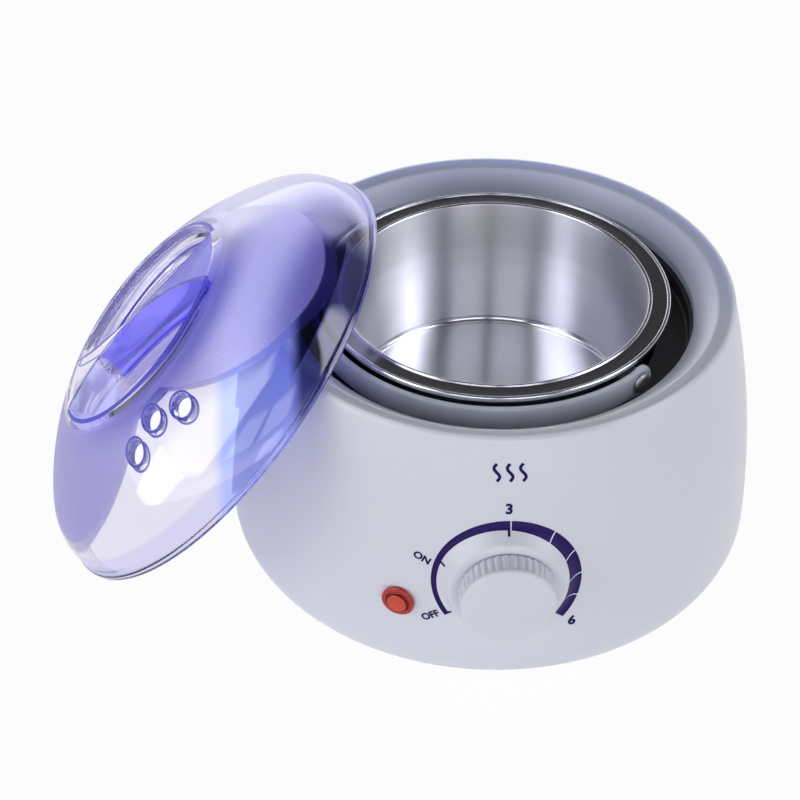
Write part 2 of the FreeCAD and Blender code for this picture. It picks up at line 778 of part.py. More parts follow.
def make_bush():
    """Threaded neck of the thermostat, through the housing's dial boss."""
    body = new_body("thermostat_bush")
    neck = sketch_on(body, "XY_Plane", "neck", "stat_face")
    ring(neck, "0", "0", "bush_radius")
    ring(neck, "0", "0", "shaft_radius + run_gap")
    feature(body, "Pad", neck, Length="bush_length")
    place(body, z_text="dial_z", rotation=outward(0))
    return body


def make_nut():
    """Thin hexagon nut that clamps the neck to the boss, hidden inside the knob."""
    body = new_body("bush_nut")
    sketch = sketch_on(body, "XY_Plane", "hexagon", "boss_face")
    regular_outline(sketch, 6, "nut_flats")
    ring(sketch, "0", "0", "bush_radius + slide_gap")
    feature(body, "Pad", sketch, Length="nut_thick")
    place(body, z_text="dial_z", rotation=outward(0))
    return body


def make_thermostat():
    """Thermostat case with a blind hole for the spindle and two tabs on its top."""
    body = new_body("thermostat_body")
    case = sketch_on(body, "XY_Plane", "case", "stat_back")
    rectangle(case, "-stat_width / 2", "-stat_height / 2", "stat_width / 2", "stat_height / 2")
    feature(body, "Pad", case, Length="stat_depth")
    hole = sketch_on(body, "XY_Plane", "spindle_hole", "stat_face")
    ring(hole, "0", "0", "shaft_radius + run_gap")
    feature(body, "Pocket", hole, Length="stat_face - shaft_start + fit_gap")
    for number, side in enumerate(("-", ""), 1):
        tab = sketch_on(body, "XY_Plane", "tab_%d" % number, "stat_back + stat_depth / 3")
        middle = side + "stat_width / 4"
        rectangle(tab, middle + " - tab_width / 2", "stat_height / 2 - tab_thick",
                  middle + " + tab_width / 2", "stat_height / 2 + tab_length")
        feature(body, "Pad", tab, Length="tab_thick")
    place(body, z_text="dial_z", rotation=outward(0))
    return body


BRACKET_HOLES = (
    ("-bracket_width / 4", "-stat_back - bracket_foot / 2"),
    ("bracket_width / 4", "-stat_back - bracket_foot / 2"),
)


def make_bracket():
    """Folded bracket: foot on the base plate, web, and a shelf under the thermostat."""
    body = new_body("thermostat_bracket")
    side = sketch_on(body, "YZ_Plane", "side", "-bracket_width / 2")
    outline(side, [
        ("-stat_back - bracket_foot", "plate_top"),
        ("-stat_back", "plate_top"),
        ("-stat_back", "plate_top + bracket_thick"),
        ("-stat_back - bracket_foot + bracket_thick", "plate_top + bracket_thick"),
        ("-stat_back - bracket_foot + bracket_thick", "stat_bottom - bracket_thick"),
        ("-stat_back", "stat_bottom - bracket_thick"),
        ("-stat_back", "stat_bottom"),
        ("-stat_back - bracket_foot", "stat_bottom"),
    ])
    feature(body, "Pad", side, Length="bracket_width")
    for number, (x_text, y_text) in enumerate(BRACKET_HOLES, 1):
        hole = sketch_on(body, "XY_Plane", "foot_hole_%d" % number, "plate_top")
        ring(hole, x_text, y_text, "screw_radius + slide_gap")
        feature(body, "Pocket", hole, Length="bracket_thick", Reversed=True)
    return body


# ---------------------------------------------------------------- indicator and inlet
def make_lens():
    """Indicator lens: flange on the wall, raised crown, hollow stem for the lamp."""
    body = new_body("indicator_lens")
    turned(body, [
        ("0", "lamp_wall_r - lens_crown / 2"),
        ("neon_radius + slide_gap * 2", "lamp_wall_r - lens_crown / 2"),
        ("neon_radius + slide_gap * 2", "lamp_wall_r - lens_length"),
        ("lens_stem", "lamp_wall_r - lens_length"),
        ("lens_stem", "lamp_wall_r + lens_seat"),
        ("lens_radius", "lamp_wall_r + lens_seat"),
        ("lens_radius - lens_edge", "lamp_wall_r + lens_seat + lens_edge", "left", "lens_edge"),
        ("lens_crown + lens_edge / 2", "lamp_wall_r + lens_seat + lens_edge"),
        ("lens_crown", "lamp_wall_r + lens_seat + lens_edge * 2"),
        ("0", "lamp_wall_r + lens_seat + lens_edge * 2 + lens_rise", "left",
         crown_curve("lens_crown", "lens_rise")),
    ])
    place(body, z_text="lamp_z", rotation=outward(size("lamp_angle")))
    return body


def make_holder():
    """Push-on ring that holds the lens from inside the wall."""
    body = new_body("indicator_holder")
    turned(body, [
        ("lens_stem + slide_gap", "lamp_wall_r - wall - holder_seat - holder_thick"),
        ("lens_stem + holder_width", "lamp_wall_r - wall - holder_seat - holder_thick"),
        ("lens_stem + holder_width", "lamp_wall_r - wall - holder_seat"),
        ("lens_stem + slide_gap", "lamp_wall_r - wall - holder_seat"),
    ])
    place(body, z_text="lamp_z", rotation=outward(size("lamp_angle")))
    return body


def make_neon():
    """Neon lamp: glass tube with a round tip inside the lens and two leads at its foot."""
    body = new_body("neon_lamp")
    turned(body, [
        ("0", "neon_tip - neon_length"),
        ("neon_radius", "neon_tip - neon_length"),
        ("neon_radius", "neon_tip - neon_radius"),
        ("0", "neon_tip", "left", "neon_radius"),
    ])
    leads = sketch_on(body, "XY_Plane", "leads", "neon_tip - neon_length")
    for side in ("-neon_radius / 2", "neon_radius / 2"):
        ring(leads, side, "0", "lead_wire")
    feature(body, "Pad", leads, Length="lead_length", Reversed=True)
    place(body, z_text="lamp_z", rotation=outward(size("lamp_angle")))
    return body


def make_inlet():
    """Cord inlet bush at the rear: outer flange, neck through the wall, open bore."""
    body = new_body("cord_inlet_bush")
    turned(body, [
        ("inlet_bore", "inlet_wall_r - wall - inlet_in"),
        ("inlet_neck", "inlet_wall_r - wall - inlet_in"),
        ("inlet_neck", "inlet_wall_r + slide_gap"),
        ("inlet_flange", "inlet_wall_r + slide_gap"),
        ("inlet_flange", "inlet_wall_r + inlet_rim"),
        ("inlet_neck", "inlet_wall_r + inlet_out"),
        ("inlet_bore", "inlet_wall_r + inlet_out"),
    ])
    place(body, z_text="inlet_z", rotation=outward(REAR))
    return body


def make_inlet_nut():
    """Hexagon nut that holds the inlet bush from inside."""
    body = new_body("inlet_nut")
    sketch = sketch_on(body, "XY_Plane", "hexagon", "inlet_wall_r - wall - inlet_nut_seat")
    regular_outline(sketch, 6, "inlet_nut_flats")
    ring(sketch, "0", "0", "inlet_neck + slide_gap")
    feature(body, "Pad", sketch, Length="nut_thick", Reversed=True)
    place(body, z_text="inlet_z", rotation=outward(REAR))
    return body


# ---------------------------------------------------------------- small inner pieces
def make_block():
    """Terminal block on the base plate: three chambers with a wire hole and a screw well."""
    body = new_body("terminal_block")
    case = sketch_on(body, "XY_Plane", "case", "plate_top")
    rectangle(case, "block_x - block_depth / 2", "-block_width / 2",
              "block_x + block_depth / 2", "block_width / 2")
    feature(body, "Pad", case, Length="block_height")
    for number, y_text in enumerate(BLOCK_ROWS, 1):
        well = sketch_on(body, "XY_Plane", "screw_well_%d" % number, "plate_top + block_height")
        ring(well, "block_x", y_text, "screw_head + slide_gap")
        feature(body, "Pocket", well, Length="block_height / 2")
        wire = sketch_on(body, "YZ_Plane", "wire_hole_%d" % number, "block_x - block_depth / 2")
        ring(wire, y_text, "plate_top + block_height / 4", "wire_hole")
        feature(body, "Pocket", wire, Length="block_depth", Reversed=True)
    return body


BLOCK_ROWS = ("-block_width / 3", "0", "block_width / 3")


def make_clamp():
    """Saddle that would hold the cord down on the base plate."""
    body = new_body("cord_clamp")
    front = sketch_on(body, "XZ_Plane", "saddle", "clamp_y - clamp_depth", REAR)
    outline(front, [
        ("-clamp_width / 2", "plate_top"),
        ("-inlet_bore", "plate_top"),
        ("-inlet_bore", "plate_top + inlet_bore"),
        ("inlet_bore", "plate_top + inlet_bore"),
        ("inlet_bore", "plate_top"),
        ("clamp_width / 2", "plate_top"),
        ("clamp_width / 2", "plate_top + clamp_foot"),
        ("inlet_bore + clamp_foot", "plate_top + clamp_foot"),
        ("inlet_bore + clamp_foot", "plate_top + inlet_bore + clamp_foot"),
        ("-inlet_bore - clamp_foot", "plate_top + inlet_bore + clamp_foot"),
        ("-inlet_bore - clamp_foot", "plate_top + clamp_foot"),
        ("-clamp_width / 2", "plate_top + clamp_foot"),
    ])
    feature(body, "Pad", front, Length="clamp_depth")
    return body


def make_fuse():
    """Thermal fuse lying under the heater stack: round case, tapered end and two leads."""
    body = new_body("thermal_fuse")
    turned(body, [
        ("0", "-fuse_length / 2 - lead_length"),
        ("lead_wire", "-fuse_length / 2 - lead_length"),
        ("lead_wire", "-fuse_length / 2"),
        ("fuse_radius", "-fuse_length / 2"),
        ("fuse_radius", "fuse_length / 3"),
        ("lead_wire", "fuse_length / 2"),
        ("lead_wire", "fuse_length / 2 + lead_length"),
        ("0", "fuse_length / 2 + lead_length"),
    ])
    place(body, y_text="fuse_y", z_text="retainer_z - fuse_drop", rotation=about(0, 1, 0, 90))
    return body


def make_fuse_clip():
    """Block clip that holds the fuse against the retainer."""
    body = new_body("fuse_clip")
    side = sketch_on(body, "YZ_Plane", "side", "-clip_width / 2")
    rectangle(side, "fuse_y - fuse_radius - clip_wall", "retainer_z - fuse_drop - fuse_radius - clip_wall",
              "fuse_y + fuse_radius + clip_wall", "retainer_z")
    feature(body, "Pad", side, Length="clip_width")
    hole = sketch_on(body, "YZ_Plane", "hole", "-clip_width / 2")
    ring(hole, "fuse_y", "retainer_z - fuse_drop", "fuse_radius + slide_gap")
    feature(body, "Pocket", hole, Length="clip_width", Reversed=True)
    return body


def make_screw_sets():
    """Screws that belong together share one sub-part."""
    sink = size("base_z + sink_depth")
    head = FreeCAD.Vector(0, 0, 1)
    down = FreeCAD.Vector(0, 0, -1)
    sets = {
        "base_screws": [
            screw(polar(size("base_screw_circle"), angle, sink), size("post_height - wall"))
            for angle in POST_ANGLES],
        "well_screws": [
            screw(polar(size("well_screw_circle"), angle, size("seat_z - sheet_wall")),
                  size("sheet_wall + lip_depth - fit_gap"))
            for angle in WELL_SCREW_ANGLES],
        "stack_screws": [
            screw(polar(size("stack_screw_circle"), angle, size("retainer_z")),
                  size("plate_z + plate_thick - fit_gap - retainer_z"))
            for angle in STACK_ANGLES],
        "bracket_screws": [
            screw(FreeCAD.Vector(size(x_text), size(y_text), size("plate_top + bracket_thick")),
                  size("bracket_thick + base_thick - fit_gap"), down)
            for x_text, y_text in BRACKET_HOLES],
        "terminal_screws": [
            screw(FreeCAD.Vector(size("block_x"), size(y_text),
                                 size("plate_top + block_height / 2 + screw_head_height")),
                  0.5 * size("screw_head_height"), down)
            for y_text in BLOCK_ROWS],
    }
    return [solid_feature(label, Part.makeCompound(screws)) for label, screws in sets.items()]


# ---------------------------------------------------------------- lid
def dome_profile(inset):
    """Half section of the dome, this far inside the outer skin: side arc and crown arc
    that meet without a corner, then the flatter cap that carries the grip, closed along
    the axis and the rim plane."""
    crown = size("lid_crown_curve")
    side = size("lid_side_curve")
    foot = FreeCAD.Vector(size("lid_radius - lid_step"), 0, size("lid_flange"))
    top = FreeCAD.Vector(0, 0, size("lid_crown - lid_crown_curve"))
    span = foot - top
    reach = crown - side
    bend = math.acos((reach ** 2 + span.Length ** 2 - side ** 2) / (2 * reach * span.Length))
    lean = math.atan2(span.x, span.z) - bend
    out = FreeCAD.Vector(math.sin(lean), 0, math.cos(lean))
    hub = top + out * reach
    low = math.atan2(foot.z - hub.z, foot.x - hub.x)

    def on_side(angle):
        return hub + FreeCAD.Vector(math.cos(angle), 0, math.sin(angle)) * (side - inset)

    def on_crown(angle):
        return top + FreeCAD.Vector(math.sin(angle), 0, math.cos(angle)) * (crown - inset)

    rim = on_side(low)
    side_arc = Part.Arc(rim, on_side((low + math.pi / 2 - lean) / 2), on_side(math.pi / 2 - lean))
    edge = math.asin(size("grip_radius") / crown)
    corner = on_crown(edge)
    crown_arc = Part.Arc(on_crown(lean), on_crown((lean + edge) / 2), corner)
    middle = FreeCAD.Vector(0, 0, size("cap_edge + cap_rise") - inset)
    rise = middle.z - corner.z
    cap = (corner.x ** 2 + rise ** 2) / (2 * rise)
    half = math.asin(corner.x / cap) / 2
    on_cap = FreeCAD.Vector(cap * math.sin(half), 0, middle.z - cap * (1 - math.cos(half)))
    corners = [middle, FreeCAD.Vector(), FreeCAD.Vector(rim.x, 0, 0), rim]
    lines = [Part.LineSegment(a, b) for a, b in zip(corners, corners[1:])]
    arcs = [side_arc, crown_arc, Part.Arc(corner, on_cap, middle)]
    return Part.Wire([item.toShape() for item in arcs + lines])


def turned_about_z(wire):
    return Part.Face(wire).revolve(FreeCAD.Vector(), FreeCAD.Vector(0, 0, 1), 360)


def rounded_disc(radius, bottom, corner, top, middle_x=0.0):
    """Upright disc with a rounded lower edge."""
    points = [
        FreeCAD.Vector(0, 0, top),
        FreeCAD.Vector(0, 0, bottom),
        FreeCAD.Vector(radius - corner, 0, bottom),
        FreeCAD.Vector(radius, 0, bottom + corner),
        FreeCAD.Vector(radius, 0, top),
    ]
    turn = math.radians(45)
    mid = points[2] + FreeCAD.Vector(corner * math.sin(turn), 0, corner * (1 - math.cos(turn)))
    arc = Part.Arc(points[2], mid, points[3]).toShape()
    lines = [Part.LineSegment(a, b).toShape() for a, b in (
        (points[0], points[1]), (points[1], points[2]), (points[3], points[4]), (points[4], points[0]))]
    shape = turned_about_z(Part.Wire([lines[0], lines[1], arc, lines[2], lines[3]]))
    shape.translate(FreeCAD.Vector(middle_x, 0, 0))
    return shape


def finger_scoop(side, inset):
    """Lens-shaped recess beside the grip fin: where a disc round the lid's axis meets a
    large disc off to one side. An inset grows it by the wall, for the hollow side."""
    bottom = size("grip_floor") - inset
    corner = size("grip_corner") + inset
    top = size("lid_crown") + size("lid_wall")
    near = rounded_disc(size("grip_radius") + inset, bottom, corner, top)
    far_x = side * size("grip_half + grip_bulge")
    far = rounded_disc(size("grip_bulge") + inset, bottom - size("scoop_dip"),
                       corner + size("scoop_dip"), top, far_x)
    return near.common(far)


def grip_core():
    """Solid middle of the grip, so that the fin isn't hollow under its thin part."""
    half = size("grip_core_half")
    reach = size("grip_radius")
    low = size("grip_floor") - size("lid_wall") / 2
    return Part.makeBox(2 * half, 2 * reach, size("lid_crown"), FreeCAD.Vector(-half, -reach, low))


def make_lid():
    """Clear dome with a flat-edged rim. Two recesses in its cap leave a thin fin to grip,
    and three vents stand in a shallow bow."""
    flange = Part.makeCylinder(size("lid_radius"), size("lid_flange"))
    outer = turned_about_z(dome_profile(0.0)).fuse(flange)
    hollow = turned_about_z(dome_profile(size("lid_wall"))).cut(grip_core())
    for side in (-1, 1):
        outer = outer.cut(finger_scoop(side, 0.0))
        hollow = hollow.cut(finger_scoop(side, size("lid_wall")))
    shell = outer.cut(hollow)
    for step in (-1, 0, 1):
        circle = size("hole_circle") - (size("hole_inset") if step == 0 else 0)
        spot = polar(circle, size("hole_angle") + step * size("hole_step_angle"))
        shell = shell.cut(Part.makeCylinder(size("hole_radius"), size("lid_crown"), spot))
    shell = max(shell.removeSplitter().Solids, key=lambda solid: solid.Volume)
    return solid_feature("lid_shell", shell, lid_placement())


def lid_reach(centre_z):
    """How far from the housing's axis the lid's centre stands: as near as its hollow rim
    may come to the rounded crest, which leaves the hollow at two points."""
    lean = math.radians(size("lean_angle"))
    inner = size("lid_radius - lid_step - lid_wall - lid_gap")
    reaches = []
    for step in range(7):
        turn = math.radians(15 * step)
        radius = size("crest_side_r - crest_round") + size("crest_round") * math.cos(turn)
        height = size("crest_side_z") + size("crest_round") * math.sin(turn) - centre_z
        drop = height / math.tan(lean)
        slope = drop * math.cos(lean) + height * math.sin(lean)
        half_width = math.sqrt(inner ** 2 - slope ** 2)
        reaches.append(drop + math.sqrt(radius ** 2 - half_width ** 2))
    return max(reaches)


def lid_placement():
    """The lid stands on its rim and leans on the housing's crest, dome outwards."""
    centre_z = size("lid_radius") * math.sin(math.radians(size("lean_angle")))
    base = polar(lid_reach(centre_z), size("lid_angle"), centre_z)
    stand = about(0, 0, 1, size("lid_angle")).multiply(about(0, 1, 0, size("lean_angle")))
    return FreeCAD.Placement(base, stand.multiply(about(0, 0, 1, 90)))


# ---------------------------------------------------------------- assembly
parts = [
    make_housing(),
    make_base_plate(),
    make_well(),
    make_disc("heater_plate", "plate_radius", "plate_z", "plate_thick"),
    make_element(),
    make_disc("insulation_pad", "retainer_radius", "pad_z", "pad_thick"),
    make_disc("heater_retainer", "retainer_radius", "retainer_z", "retainer_thick"),
    make_pot(),
    make_stud("bail_stud_right", size("bail_angle")),
    make_stud("bail_stud_left", size("bail_angle") + 180),
    make_bail(),
    make_knob(),
    make_shaft(),
    make_bush(),
    make_nut(),
    make_thermostat(),
    make_bracket(),
    make_lens(),
    make_holder(),
    make_neon(),
    make_inlet(),
    make_inlet_nut(),
    make_block(),
    make_clamp(),
    make_fuse(),
    make_fuse_clip(),
    make_lid(),
]
for number, angle in enumerate(POST_ANGLES, 1):
    parts.append(make_foot("rubber_foot_%d" % number, angle))
parts += make_screw_sets()

doc.recompute()
for item in doc.Objects:
    if "Invalid" in item.State or "Error" in item.State:
        raise RuntimeError("%s failed: %s" % (item.Name, item.State))
for part in parts:
    shape = part.Shape
    if shape.isNull() or not shape.isValid() or not shape.Solids:
        raise RuntimeError("%s has no valid solid" % part.Label)
for part in parts:
    part.Shape.exportStep("parts/%s.step" % part.Label)
    print("%-20s %2d solids %10.2f mm3" % (part.Label, len(part.Shape.Solids), part.Shape.Volume))
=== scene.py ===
import json
import math
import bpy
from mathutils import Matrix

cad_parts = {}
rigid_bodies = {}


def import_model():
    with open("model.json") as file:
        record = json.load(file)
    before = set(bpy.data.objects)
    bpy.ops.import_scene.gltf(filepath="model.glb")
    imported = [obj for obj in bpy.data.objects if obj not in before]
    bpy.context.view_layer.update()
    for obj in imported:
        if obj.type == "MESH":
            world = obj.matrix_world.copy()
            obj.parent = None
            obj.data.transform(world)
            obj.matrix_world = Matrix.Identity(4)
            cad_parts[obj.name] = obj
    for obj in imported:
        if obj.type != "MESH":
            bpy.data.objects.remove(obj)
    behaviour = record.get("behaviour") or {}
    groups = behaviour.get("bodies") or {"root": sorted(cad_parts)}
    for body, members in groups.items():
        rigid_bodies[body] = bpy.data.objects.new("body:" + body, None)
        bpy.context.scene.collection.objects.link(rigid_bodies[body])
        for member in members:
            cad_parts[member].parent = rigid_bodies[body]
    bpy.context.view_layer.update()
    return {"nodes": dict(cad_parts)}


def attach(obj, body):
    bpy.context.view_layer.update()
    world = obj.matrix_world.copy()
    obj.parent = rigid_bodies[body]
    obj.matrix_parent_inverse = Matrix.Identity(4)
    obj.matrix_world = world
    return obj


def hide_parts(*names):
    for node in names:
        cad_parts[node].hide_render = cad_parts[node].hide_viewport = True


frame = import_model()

from types import SimpleNamespace

import bmesh
import bpy
import numpy as np
from bpy.props import FloatProperty, FloatVectorProperty, PointerProperty
from mathutils import Matrix, Vector

bl_info = {
    "name": "Wax melter",
    "version": (1, 0, 0),
    "blender": (4, 5, 0),
    "location": "View3D > Sidebar > Wax melter",
    "description": "Dresses the wax melter: housing, dial, pot, bail and leaning lid",
    "category": "Object",
}

NODES = frame["nodes"]


# ---------------------------------------------------------------- settings
def length(name, value, description):
    """A size in metres, shown with its unit."""
    return FloatProperty(name=name, description=description, default=value,
                         unit="LENGTH", precision=4)


def colour(name, value, description):
    """A colour as it is seen on the screen."""
    return FloatVectorProperty(name=name, description=description, default=value,
                               subtype="COLOR_GAMMA", size=3, min=0.0, max=1.0)


class MELTER_PG_sizes(bpy.types.PropertyGroup):
    """Sizes of the melter's visible pieces."""
    body_radius: length("Housing radius", 0.075, "Widest radius of the housing, near its foot")
    body_height: length("Housing height", 0.0822, "Height of the crest above the table")
    opening_radius: length("Mouth radius", 0.0554, "Radius where the inner slope ends")
    dial_height: length("Dial height", 0.0383, "Height of the dial's axis above the table")
    boss_radius: length("Boss radius", 0.0154, "Radius of the flat boss behind the knob")
    boss_face: length("Boss face", 0.076, "Distance of the boss's face from the housing's axis")
    knob_radius: length("Knob skirt radius", 0.0132, "Radius of the ribbed skirt at its back")
    knob_face: length("Knob face radius", 0.0127, "Radius of the knob's smooth face")
    scale_radius: length("Scale radius", 0.02, "Outer radius of the printed scale")
    rim_radius: length("Pot rim radius", 0.0487, "Outer radius of the pot's flat rim")
    pot_radius: length("Pot radius", 0.0425, "Inner radius of the pot at its lip")
    lid_radius: length("Lid radius", 0.06648, "Outer radius of the lid's flanged rim")
    grip_radius: length("Grip radius", 0.03232, "Radius of the two finger recesses together")


class MELTER_PG_colours(bpy.types.PropertyGroup):
    """Colours of the melter's finishes."""
    housing: colour("Housing", (0.90, 0.905, 0.945), "Satin white housing")
    # Painted shade: a bluer, darker white laid on the housing's inner slope towards the back.
    slope: colour("Slope", (0.87, 0.90, 1.0), "Housing's inner slope towards the back")
    print_ink: colour("Print", (0.13, 0.02, 0.34), "Deep violet print on the housing")
    well: colour("Well", (0.13, 0.13, 0.145), "Black coated sheet round the pot")
    pot: colour("Pot", (0.86, 0.86, 0.89), "Spun aluminium")
    bail: colour("Bail", (0.93, 0.95, 1.0), "Cloudy grey strap")
    lens: colour("Lens", (0.84, 0.14, 0.10), "Orange-red lamp lens")
    # Painted glow: the lighter orange of the lens's raised middle.
    lens_painted_glow: colour("Lens, middle", (0.95, 0.30, 0.12), "Lighter orange of its middle")
    lid: colour("Lid, clear", (0.90, 0.888, 0.955), "Pale violet tint of the clear windows")
    lid_frost: colour("Lid, frosted", (0.72, 0.70, 0.96), "Violet of the frosted field")
    lid_glow: colour("Lid, frosted and lit", (0.80, 0.80, 1.0), "Pale violet where light falls")
    # Painted shade: the blue of the shaded housing seen through the lid, laid where the lid stands
    # before it.
    lid_painted_housing_shade: colour("Lid, blue", (0.66, 0.72, 0.99), "Tint before the housing")
    # Painted shade: the dark of the black well seen through the lid.
    lid_painted_well_shade: colour("Lid, dark", (0.10, 0.11, 0.34), "Tint over the black well")
    # Partly the plastic's stronger blue, partly painted glow in the front recess and beside it,
    # and painted shade on the frosted field's far end.
    lid_deep_blue_painted_light: colour("Lid, deep", (0.42, 0.40, 0.96), "Blue of the front recess and beside it")
    # Painted shade: dark blue lines along the recesses' and vents' edges, where light leaves the
    # plastic, with a blue painted glow.
    lid_painted_edge_shade: colour("Lid, edges", (0.05, 0.01, 0.50), "Dark tint along the recesses' edges")
    studio: colour("Studio", (0.97, 0.97, 0.98), "Floor and surroundings")


def sizes():
    """The sizes in millimetres, by name."""
    group = bpy.context.scene.melter_sizes
    return SimpleNamespace(**{name: 1000 * getattr(group, name) for name in group.__annotations__})


def tint(name):
    """A chosen colour in the linear values that shaders take."""
    screen = np.array(getattr(bpy.context.scene.melter_colours, name))
    linear = np.where(screen <= 0.04045, screen / 12.92, ((screen + 0.055) / 1.055) ** 2.4)
    return (*linear.tolist(), 1.0)


# ---------------------------------------------------------------- mesh helpers
def new_object(name, data):
    """An object in the scene's own collection."""
    made = bpy.data.objects.new(name, data)
    bpy.context.scene.collection.objects.link(made)
    return made


def worked_out(thing):
    """The mesh of an object's text or modifiers."""
    bpy.context.view_layer.update()
    graph = bpy.context.evaluated_depsgraph_get()
    return bpy.data.meshes.new_from_object(thing.evaluated_get(graph))


def stacked(*values):
    """Values side by side in a new last axis."""
    return np.stack(np.broadcast_arrays(*values), axis=-1)


def circle(angle):
    """Points of the unit circle: x is the cosine and y the sine."""
    return stacked(np.cos(angle), np.sin(angle))


def round_trip(count):
    """Equal steps all the way round, without the last one, which is the first again."""
    return np.linspace(0, 2 * np.pi, count, endpoint=False)


def mesh_piece(name, points, faces, body, nodes=(), smooth=35.0, closed=True):
    """Object from points in millimetres and faces. Doubles are merged, the normals of a closed
    shell are turned outwards, and edges sharper than the given angle stay crisp."""
    mesh = bpy.data.meshes.new(name)
    mesh.from_pydata((np.asarray(points) * 0.001).tolist(), [], faces)
    work = bmesh.new()
    work.from_mesh(mesh)
    bmesh.ops.remove_doubles(work, verts=work.verts, dist=2e-6)
    bmesh.ops.dissolve_degenerate(work, edges=work.edges, dist=1e-7)
    if closed:
        bmesh.ops.recalc_face_normals(work, faces=work.faces)
    work.to_mesh(mesh)
    work.free()
    mesh.shade_smooth()
    mesh.set_sharp_from_angle(angle=math.radians(smooth))
    piece = new_object(name, mesh)
    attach(piece, body)
    if nodes:
        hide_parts(*nodes)
    return piece


def grid_faces(rows, columns, wrap_rows=False, wrap_columns=False, start=0):
    """Quads of a grid whose points are numbered row by row, with either way closed on itself."""
    row = np.arange(rows if wrap_rows else rows - 1)
    column = np.arange(columns if wrap_columns else columns - 1)
    r, c = np.meshgrid(row, column, indexing="ij")
    r2, c2 = (r + 1) % rows, (c + 1) % columns
    quads = stacked(r * columns + c, r * columns + c2, r2 * columns + c2, r2 * columns + c)
    return (quads.reshape(-1, 4) + start).tolist()


def rounded(corners, steps=6):
    """Polyline through (x, y, radius) corners: each corner with a radius becomes a circular arc,
    drawn as the rational quadratic curve from tangent point to tangent point, whose middle
    weight is the sine of half the inner angle. The tangent length is radius over the tangent
    of half that angle, kept under half of the shorter side."""
    xy = np.array([corner[:2] for corner in corners], float)
    out = [xy[:1]]
    for index in range(1, len(corners) - 1):
        here, radius = xy[index], corners[index][2] if len(corners[index]) > 2 else 0.0
        before, after = xy[index - 1] - here, xy[index + 1] - here
        reach_a, reach_b = np.linalg.norm(before), np.linalg.norm(after)
        half = math.acos(float(np.clip(before @ after / (reach_a * reach_b), -1, 1))) / 2
        if radius <= 0 or half > 1.55:
            out.append(xy[index:index + 1])
            continue
        run = min(radius / math.tan(half), 0.49 * reach_a, 0.49 * reach_b)
        first, last = here + before / reach_a * run, here + after / reach_b * run
        t = np.linspace(0, 1, steps)[:, None]
        weight = math.sin(half)
        bottom = (1 - t) ** 2 + 2 * weight * t * (1 - t) + t ** 2
        top = (1 - t) ** 2 * first + 2 * weight * t * (1 - t) * here + t ** 2 * last
        out.append(top / bottom)
    out.append(xy[-1:])
    return np.concatenate(out)


def bow(start, end, rise, count=10):
    """Arc from start to end that stands off its chord by the rise, on the left for a positive
    rise: points at equal angles about the centre found from chord and rise."""
    start, end = np.array(start, float), np.array(end, float)
    chord = end - start
    span = np.linalg.norm(chord)
    left = np.array([-chord[1], chord[0]]) / span
    radius = (span ** 2 / 4 + rise ** 2) / (2 * abs(rise))
    centre = (start + end) / 2 + left * (rise - math.copysign(radius, rise))
    a, b = (math.atan2(*(p - centre)[::-1]) for p in (start, end))
    sweep = (b - a + math.pi) % (2 * math.pi) - math.pi
    angle = a + np.linspace(0, 1, count) * sweep
    return centre + radius * circle(angle)


def lathe(profile, angles):
    """Points of a profile (radius, height) turned about +Z: x = r cos a, y = r sin a, z = h.
    The result has one row for each angle and one column for each profile point."""
    r, h = profile[:, 0], profile[:, 1]
    a = np.asarray(angles)[:, None]
    return stacked(r * np.cos(a), r * np.sin(a), h)


def turned_piece(name, profile, body, nodes=(), count=256, turn=None):
    """A full lathe piece whose profile starts and ends on the axis. A turn matrix lays the
    axis elsewhere."""
    points = lathe(profile, round_trip(count)).reshape(-1, 3)
    faces = grid_faces(count, len(profile), wrap_rows=True)
    if turn is not None:
        points = moved(points, turn)
    return mesh_piece(name, points, faces, body, nodes)


def drill(name, body, radius, low, high, turn):
    """A round cutter from one height to another along the turned axis."""
    outline = np.array([(0, low), (radius, low), (radius, high), (0, high)], float)
    return turned_piece(name, outline, body, turn=turn, count=48)


def moved(points, matrix):
    """Points taken through a 4 x 4 matrix in millimetres."""
    m = np.array(matrix)
    return points @ m[:3, :3].T + m[:3, 3]


def facing(azimuth, height, reach=0.0):
    """Frame of a feature on the wall: its +Z points level outwards, this many degrees from -Y
    towards +X, its +Y points up, and its origin lies at a height and a reach from the axis."""
    angle = math.radians(azimuth)
    out = Vector((math.sin(angle), -math.cos(angle), 0))
    side = Vector((math.cos(angle), math.sin(angle), 0))
    columns = Matrix((side, Vector((0, 0, 1)), out)).transposed().to_4x4()
    columns.translation = out * reach + Vector((0, 0, height))
    return columns


# ---------------------------------------------------------------- shader helpers
def operator(operation):
    """A method that adds the Math node of one operation."""
    return lambda self, other: self.math(operation, other)


class Socket:
    """A shader value with arithmetic: each operator adds the Math node that it stands for."""
    __add__ = __radd__ = operator("ADD")
    __mul__ = __rmul__ = operator("MULTIPLY")
    __sub__, __truediv__ = operator("SUBTRACT"), operator("DIVIDE")
    __gt__, __lt__ = operator("GREATER_THAN"), operator("LESS_THAN")

    def __init__(self, paint, link):
        self.paint = paint
        self.link = link

    def math(self, operation, *others):
        return self.paint.node("ShaderNodeMath", {"operation": operation},
                               dict(enumerate((self, *others))))

    def __rsub__(self, other):
        return self.paint.node("ShaderNodeMath", {"operation": "SUBTRACT"}, {0: other, 1: self})

    def hypot(self, other):
        """Distance over two sides at a right angle."""
        return (self * self + other * other).math("SQRT")

    def near(self, middle, wide, tight):
        """One within a tight distance of a value, falling to none at a wide one."""
        return (self - middle).math("ABSOLUTE").between(wide, tight)

    def most(self, *others):
        """The largest of this value and others."""
        top = self
        for other in others:
            top = top.math("MAXIMUM", other)
        return top

    def between(self, low, high, out_low=0.0, out_high=1.0):
        """Smooth step from one value to another while this one goes from low to high."""
        return self.paint.node("ShaderNodeMapRange", {"interpolation_type": "SMOOTHSTEP"},
                               {"Value": self, "From Min": low, "From Max": high,
                                "To Min": out_low, "To Max": out_high})


